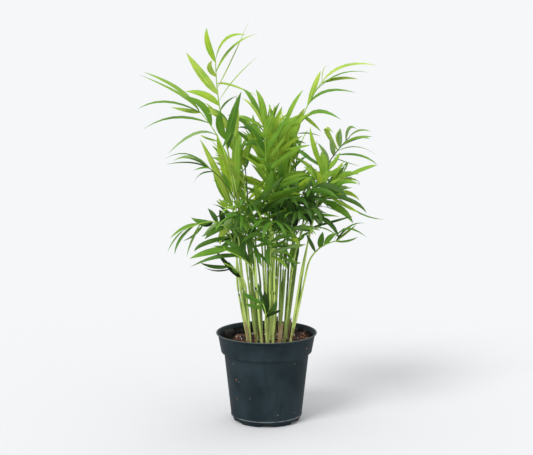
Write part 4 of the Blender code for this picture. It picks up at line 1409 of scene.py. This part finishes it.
def stalk_girth(t):
    """A stalk's radius, a little swollen where it leaves its cane."""
    return rib_radius(t) + STALK_SWELL * (1 - ease(t, 0.0, 0.12))


def stem_run(frond, points, draw):
    """A stalk from the soil to its tip: low on its cane it lies against it, then parts from it."""
    cane = CANES[frond.cane]
    base, axis = cane_foot(cane), cane_axis(cane)
    rise = (points[0] - base).dot(axis)
    away = unit(points[0] - base - axis * rise)
    low = draw.uniform(*WRAP_START)
    run = []
    for k in range(WRAP_POINTS):
        share = low + (1 - low) * k / WRAP_POINTS
        place = base + axis * rise * share + away * (WRAP_IN + (WRAP_OUT - WRAP_IN) * share)
        girth = WRAP_GIRTH * (WRAP_FOOT + (1 - WRAP_FOOT) * ease(k, 0, 5))
        run.append((place, girth, unit(away.cross(axis)), 0.0))
    for k in range(STALK_STATIONS + 1):
        t = k / STALK_STATIONS
        part = away * (WRAP_OUT - SOCKET_RADIUS) * (1 - ease(t, 0.0, WRAP_REACH))
        side = rib_frame(frond, points, t)[1]
        run.append((curve_point(points, t) + part, stalk_girth(t), -side, t))
    return run


def make_stalks(grown):
    """The stalks and ribs, joined by tone: bright ones of young and grown fronds, and deep ones.

    The deep ones, for old and dull fronds, are a darker copy of the finish with painted shade.
    """
    for tone, (foot, tip) in STALK_COLORS.items():
        mine = [(f, p) for f, p in grown if (f.age in ("young", "grown")) == (tone == "bright")]
        runs = [stem_run(f, p, random.Random(f.name)) for f, p in mine]
        outline = stalk_section(STALK_SIDES, STALK_CHANNEL)
        piece = swept(f"stalks_{tone}", runs, outline, stalk_look(f"Stalk {tone}", foot, tip))
        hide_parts(*[f"frond_{f.name}" for f, _ in mine])
        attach(piece, "root")


def cane_girth(cane, height, rings):
    """The cane's radius at a height: a flared foot, and a small step at each leaf scar."""
    share = height / cane.height
    size = cane.radius * MM * (CANE_SLIM - CANE_TAPER * share)
    size *= 1 - CANE_TIP_TAPER * ease(share, 0.7, 1)
    size += CANE_FLARE * (1 - ease(height, 0, CANE_FLARE_HEIGHT))
    for ring in rings:
        above = ease(height, ring, ring + RING_FALL)
        size += RING_STEP * ease(height, ring - RING_RISE, ring) * (1 - above)
    return size


def cane_run(cane, draw):
    """A cane's line to sweep, from just under the soil to just past its tip."""
    foot = cane_foot(cane) - UP * CANE_SUNK * MM
    tip = cane_tip(cane) + cane_axis(cane) * CANE_PAST_TIP * MM
    rings = [cane.height * share + draw.uniform(-RING_DRAW, RING_DRAW) for share in RING_SHARES]
    side = compass(draw.uniform(0, 360))
    count = max(CANE_LEAST_STATIONS, int(cane.height * CANE_STATIONS_A_MM))
    shares = [k / count for k in range(count + 1)]
    return [(foot.lerp(tip, t), cane_girth(cane, t * cane.height, rings), side, t) for t in shares]


def make_canes():
    numbered = CANES.items()
    runs = [cane_run(cane, random.Random(FIRST_CANE_SEED + number)) for number, cane in numbered]
    piece = swept("canes", runs, stalk_section(CANE_SIDES, 0.0), cane_look())
    shaped(piece, RELIEF, finish=piece.data.materials[0], **CANE_RELIEF)
    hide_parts(*[f"cane_{number:02d}" for number in CANES])
    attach(piece, "root")


def sheath_points(number, tall, wrap, turn):
    """A sheath's points: its outer layer and then its inner one, each row by row from its foot."""
    cane = CANES[number]
    draw = random.Random(FIRST_SHEATH_SEED + number)
    ragged = [draw.uniform(*SHEATH_RAGGED) for _ in range(SHEATH_COLUMNS)]
    points = []
    for inner in (0, 1):
        for i in range(SHEATH_ROWS + 1):
            for k in range(SHEATH_COLUMNS):
                angle = turn + wrap * (k / (SHEATH_COLUMNS - 1) - 0.5)
                height = tall * MM * ragged[k] * i / SHEATH_ROWS
                crumple = draw.uniform(-SHEATH_CRUMPLE, SHEATH_CRUMPLE) * inner
                gap = SHEATH_FOOT_GAP + SHEATH_FLARE * (i / SHEATH_ROWS) ** 3 + crumple
                gap += SHEATH_THICKNESS * (1 - inner)
                radius = (cane.radius * SHEATH_CANE_SHARE + gap) * MM
                points.append(cane_foot(cane) + cane_axis(cane) * height + compass(angle) * radius)
    return points


def sheath_faces():
    """The faces between a sheath's points: both layers, and the band that closes its border."""
    wide, rows = SHEATH_COLUMNS, SHEATH_ROWS
    layer = wide * (rows + 1)
    faces = []
    for i in range(rows):
        for a in range(wide * i, wide * i + wide - 1):
            b = a + layer
            faces += [(a, a + 1, a + wide + 1, a + wide), (b + wide, b + wide + 1, b + 1, b)]
    border = [(i, 0) for i in range(rows)] + [(rows, k) for k in range(wide - 1)]
    border += [(i, wide - 1) for i in range(rows, 0, -1)] + [(0, k) for k in range(wide - 1, 0, -1)]
    marks = [wide * i + k for i, k in border]
    faces += [(a, b, b + layer, a + layer) for a, b in zip(marks, marks[1:] + marks[:1])]
    return faces


def make_sheaths():
    """Dry leaf bases that still wrap the foot of some canes, each with a ragged upper edge."""
    verts, faces = [], []
    for row in SHEATHS:
        faces += [tuple(len(verts) + corner for corner in face) for face in sheath_faces()]
        verts += sheath_points(*row)
    mesh = bpy.data.meshes.new("sheaths")
    mesh.from_pydata(verts, [], faces)
    mesh.materials.append(sheath_look())
    tidy_normals(mesh)
    piece = add_piece("sheaths", mesh)
    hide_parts(*[f"cane_{number:02d}" for number, *_ in SHEATHS])
    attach(piece, "root")


def tidy_normals(mesh):
    """Weld a mesh, turn its faces outward, and smooth it but for its sharp edges."""
    shape = bmesh.new()
    shape.from_mesh(mesh)
    bmesh.ops.remove_doubles(shape, verts=shape.verts, dist=WELD)
    bmesh.ops.recalc_face_normals(shape, faces=shape.faces)
    for face in shape.faces:
        face.smooth = True
    shape.to_mesh(mesh)
    shape.free()
    mesh.set_sharp_from_angle(angle=math.radians(SHARP_ANGLE))


def turned_mesh(name, outline, sides):
    """A solid turned about the Z axis from an outline of (radius, height), welded at the axis."""
    verts, faces = [], []
    count = len(outline)
    for k in range(sides):
        turn = 2 * math.pi * k / sides
        verts += [(r * math.cos(turn), r * math.sin(turn), z) for r, z in outline]
        here, there = k * count, (k + 1) % sides * count
        for i in range(count - 1):
            faces.append((here + i, there + i, there + i + 1, here + i + 1))
    mesh = bpy.data.meshes.new(name)
    mesh.from_pydata(verts, [], faces)
    tidy_normals(mesh)
    return mesh


def arc(centre, radius, start, end, steps=5):
    """Points round a centre in a profile, from one angle in degrees to another."""
    points = []
    for k in range(steps + 1):
        turn = math.radians(start + (end - start) * k / steps)
        points.append((centre[0] + radius * math.cos(turn), centre[1] + radius * math.sin(turn)))
    return points


def pot_outline():
    """Inner side from the floor's middle up to the lip, over it and down the outer side."""
    wall, lip, corner = POT_WALL, POT_LIP, POT_FLOOR_CORNER
    band_foot = POT_HEIGHT - POT_BAND_HEIGHT
    floor_edge = POT_SOLE_RADIUS - wall - corner
    outline = [(0, POT_FLOOR), (floor_edge, POT_FLOOR)]
    outline += arc((floor_edge, POT_FLOOR + corner), corner, -90, -30)
    outline += [(POT_BODY_FOOT_RADIUS - wall, POT_LEDGE_HEIGHT + MM)]
    outline += [(POT_BODY_TOP_RADIUS - wall, band_foot - wall)]
    outline += [(POT_BAND_FOOT_RADIUS - wall, band_foot + 0.4 * MM)]
    outline += [(POT_BAND_TOP_RADIUS - wall, POT_HEIGHT - 4 * MM)]
    outline += arc((POT_RIM_RADIUS - lip, POT_HEIGHT - lip), lip, 130, -60, 9)
    outline += arc((POT_BAND_TOP_RADIUS + 1.2 * MM, POT_HEIGHT - 3.6 * MM), 1.2 * MM, 100, 180)
    outline += arc((POT_BAND_FOOT_RADIUS - MM, band_foot + 1.2 * MM), 1.1 * MM, 0, -80)
    outline += arc((POT_BODY_TOP_RADIUS + 0.9 * MM, band_foot - 1.1 * MM), 0.9 * MM, 95, 180, 4)
    outline += [(POT_BODY_FOOT_RADIUS + 0.15 * MM, POT_LEDGE_HEIGHT + 1.2 * MM)]
    ledge_edge = POT_BODY_FOOT_RADIUS - 0.35 * MM
    ledge_foot = (POT_BODY_FOOT_RADIUS - 0.4 * MM, POT_LEDGE_HEIGHT - 1.6 * MM)
    outline += arc((ledge_edge, POT_LEDGE_HEIGHT), 0.7 * MM, 30, -70)
    outline += arc(ledge_foot, 0.7 * MM, 110, 200, 3)
    outline += arc((POT_SOLE_RADIUS + 0.6 * MM, 1.4 * MM), 1.4 * MM, 0, -90)
    return outline + [(0, 0)]


def drain_cutter(turn):
    """A bar with rounded long edges, across the pot's foot at an angle in radians."""
    shape = bmesh.new()
    bmesh.ops.create_cube(shape, size=1)
    size = (DRAIN_DEPTH + 2 * CUTTER_PAST_FOOT, DRAIN_WIDTH, 2 * DRAIN_HEIGHT)
    bmesh.ops.scale(shape, vec=size, verts=shape.verts)
    long = [e for e in shape.edges if abs(e.verts[0].co.x - e.verts[1].co.x) > MM]
    rounding = {"offset": DRAIN_CORNER, "segments": 4, "affect": "EDGES", "profile": 0.5}
    bmesh.ops.bevel(shape, geom=long, **rounding)
    middle = POT_SOLE_RADIUS - DRAIN_DEPTH / 2 + CUTTER_PAST_FOOT
    place = Matrix.Rotation(turn, 4, "Z") @ Matrix.Translation((middle, 0, 0))
    bmesh.ops.transform(shape, matrix=place, verts=shape.verts)
    return add_piece("drain", mesh_of("drain", shape))


def cut_drains(pot):
    """Low notches in the pot's foot, set evenly round it."""
    cutters = []
    for k in range(DRAIN_COUNT):
        cutters.append(drain_cutter(math.radians(-90 + 360 * k / DRAIN_COUNT)))
        pot.modifiers.new("Drain", "BOOLEAN").object = cutters[-1]
    settled(pot)
    for cutter in cutters:
        bpy.data.objects.remove(cutter)
    tidy_normals(pot.data)


def make_pot():
    pot = add_piece("nursery_pot", turned_mesh("nursery_pot", pot_outline(), POT_SIDES))
    cut_drains(pot)
    pot.data.materials.clear()
    pot.data.materials.append(pot_look())
    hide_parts("pot")
    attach(pot, "root")


def soil_height(x, y):
    """The height of the potting mix: a pocket and a lump at the left, a mound at the right."""
    lump_x, lump_y = SOIL_LUMP_PLACE
    height = SOIL_TOP
    height -= SOIL_POCKET * ease(-x, 30 * MM, 44 * MM) * ease(y, -40 * MM, -5 * MM)
    height += SOIL_MOUND * ease(x, 24 * MM, 38 * MM) * ease(y, -30 * MM, 5 * MM)
    height += SOIL_LUMP * (1 - ease(math.hypot(x - lump_x, y - lump_y), 2 * MM, 11 * MM))
    for level, (rise, scale) in enumerate(SOIL_UNEVEN):
        height += rise * noise.noise(Vector((x, y, level)) * scale)
    return height - SOIL_SINK


def make_soil():
    """The plug of potting mix, with a rough top surface."""
    gap = SOIL_GAP
    wall = POT_WALL + gap
    band_foot = POT_HEIGHT - POT_BAND_HEIGHT
    edge = POT_BAND_FOOT_RADIUS + 1.0 * MM - wall
    outline = [(edge * k / SOIL_RINGS, SOIL_TOP) for k in range(SOIL_RINGS + 1)]
    outline += [
        (POT_BAND_FOOT_RADIUS - wall - 0.5 * MM, band_foot + wall),
        (POT_BODY_TOP_RADIUS - wall - 0.2 * MM, band_foot - wall),
        (POT_BODY_FOOT_RADIUS - wall - 1.0 * MM, POT_LEDGE_HEIGHT + gap),
        (POT_SOLE_RADIUS - wall, POT_FLOOR + 2 * gap),
        (0, POT_FLOOR + 2 * gap),
    ]
    soil = add_piece("potting_mix_bed", turned_mesh("potting_mix_bed", outline, SOIL_SIDES))
    for vertex in soil.data.vertices:
        if vertex.co.z > SOIL_TOP - 0.1 * MM:
            vertex.co.z = soil_height(vertex.co.x, vertex.co.y)
    soil.data.materials.append(soil_look())
    return soil


def crumb(size, squash, seed):
    """A small rough lump."""
    shape = bmesh.new()
    bmesh.ops.create_icosphere(shape, subdivisions=1, radius=size)
    draw = random.Random(seed)
    for vertex in shape.verts:
        vertex.co *= draw.uniform(*CRUMB_DRAW)
        vertex.co.z *= squash
    return add_piece("crumb", mesh_of("crumb", shape))


def fibre(length, width):
    """A bent sliver of bark."""
    shape = bmesh.new()
    bmesh.ops.create_cube(shape, size=1)
    lengthwise = [e for e in shape.edges if abs(e.verts[0].co.x - e.verts[1].co.x) > 0.5]
    bmesh.ops.subdivide_edges(shape, edges=lengthwise, cuts=3)
    for vertex in shape.verts:
        along, side, up = vertex.co
        taper = 1 - 1.6 * along * along
        vertex.co = (along * length, side * width * taper, up * width * 0.4 * taper)
        vertex.co.y += length * 0.12 * along
        vertex.co.z += length * 0.35 * along * along
    return add_piece("fibre", mesh_of("fibre", shape))


def make_potting_mix():
    """The bed of potting mix and what is strewn over it."""
    soil = make_soil()
    models = {
        "crumbs_dark": (crumb(1.1 * MM, 0.7, 5), bark_look("Bark crumb", *BARK_DARK)),
        "crumbs_red": (crumb(1.0 * MM, 0.7, 6), bark_look("Red bark crumb", *BARK_RED)),
        "bark_fibres": (fibre(5.5 * MM, 0.9 * MM), bark_look("Bark fibre", *BARK_FIBRE)),
        "perlite": (crumb(1.1 * MM, 0.85, 8), perlite_look()),
    }
    for name, (density, least, most, flatness, seed) in STREWN.items():
        model, finish = models[name]
        strewn = add_piece(name, soil.data.copy())
        sizes = {"least_size": least, "most_size": most, "flatness": flatness}
        shaped(strewn, STREW, model=model, density=density, seed=seed, finish=finish, **sizes)
        bpy.data.objects.remove(model)
        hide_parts("potting_mix")
        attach(strewn, "root")
    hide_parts("potting_mix")
    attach(soil, "root")


# Stage


def floor_color():
    """The colour in which a floor under this sky and these suns comes out as pale as the sky."""
    fall = sum(power * unit(way).z for way, _, power in SUNS.values()) / math.pi
    return [part / (part + fall) for part in SKY]


def make_stage():
    shape = bmesh.new()
    bmesh.ops.create_circle(shape, cap_ends=True, segments=FLOOR_SIDES, radius=FLOOR_RADIUS)
    floor = add_piece("floor", mesh_of("floor", shape))
    finish = Look("Floor").surface((*floor_color(), 1), FLOOR_ROUGHNESS, gloss=0.0)
    floor.data.materials.append(finish)
    world = bpy.data.worlds.new("Studio")
    bpy.context.scene.world = world
    world.use_nodes = True
    world.node_tree.nodes["Background"].inputs["Color"].default_value = (*SKY, 1)
    for name, (way, spread, power) in SUNS.items():
        sun = bpy.data.lights.new(name, "SUN")
        sun.angle = math.radians(spread)
        sun.energy = power
        piece = add_piece(name, sun)
        piece.rotation_euler = Vector(way).to_track_quat("Z", "Y").to_euler()


def make_camera():
    data = bpy.data.cameras.new("camera")
    data.lens = CAMERA_LENS
    data.sensor_width = SENSOR_WIDTH
    camera = add_piece("camera", data)
    camera.location = CAMERA_PLACE
    camera.rotation_euler = (math.radians(90 - CAMERA_PITCH), 0, 0)
    bpy.context.scene.camera = camera
    bpy.context.scene.view_settings.view_transform = "Standard"


SWEEP = sweep_tree()
STREW = strew_tree()
RELIEF = relief_tree()

make_camera()
make_stage()
plan = grow_ribs()
make_pot()
make_potting_mix()
make_canes()
make_sheaths()
make_stalks(plan)
make_leaflets(plan)
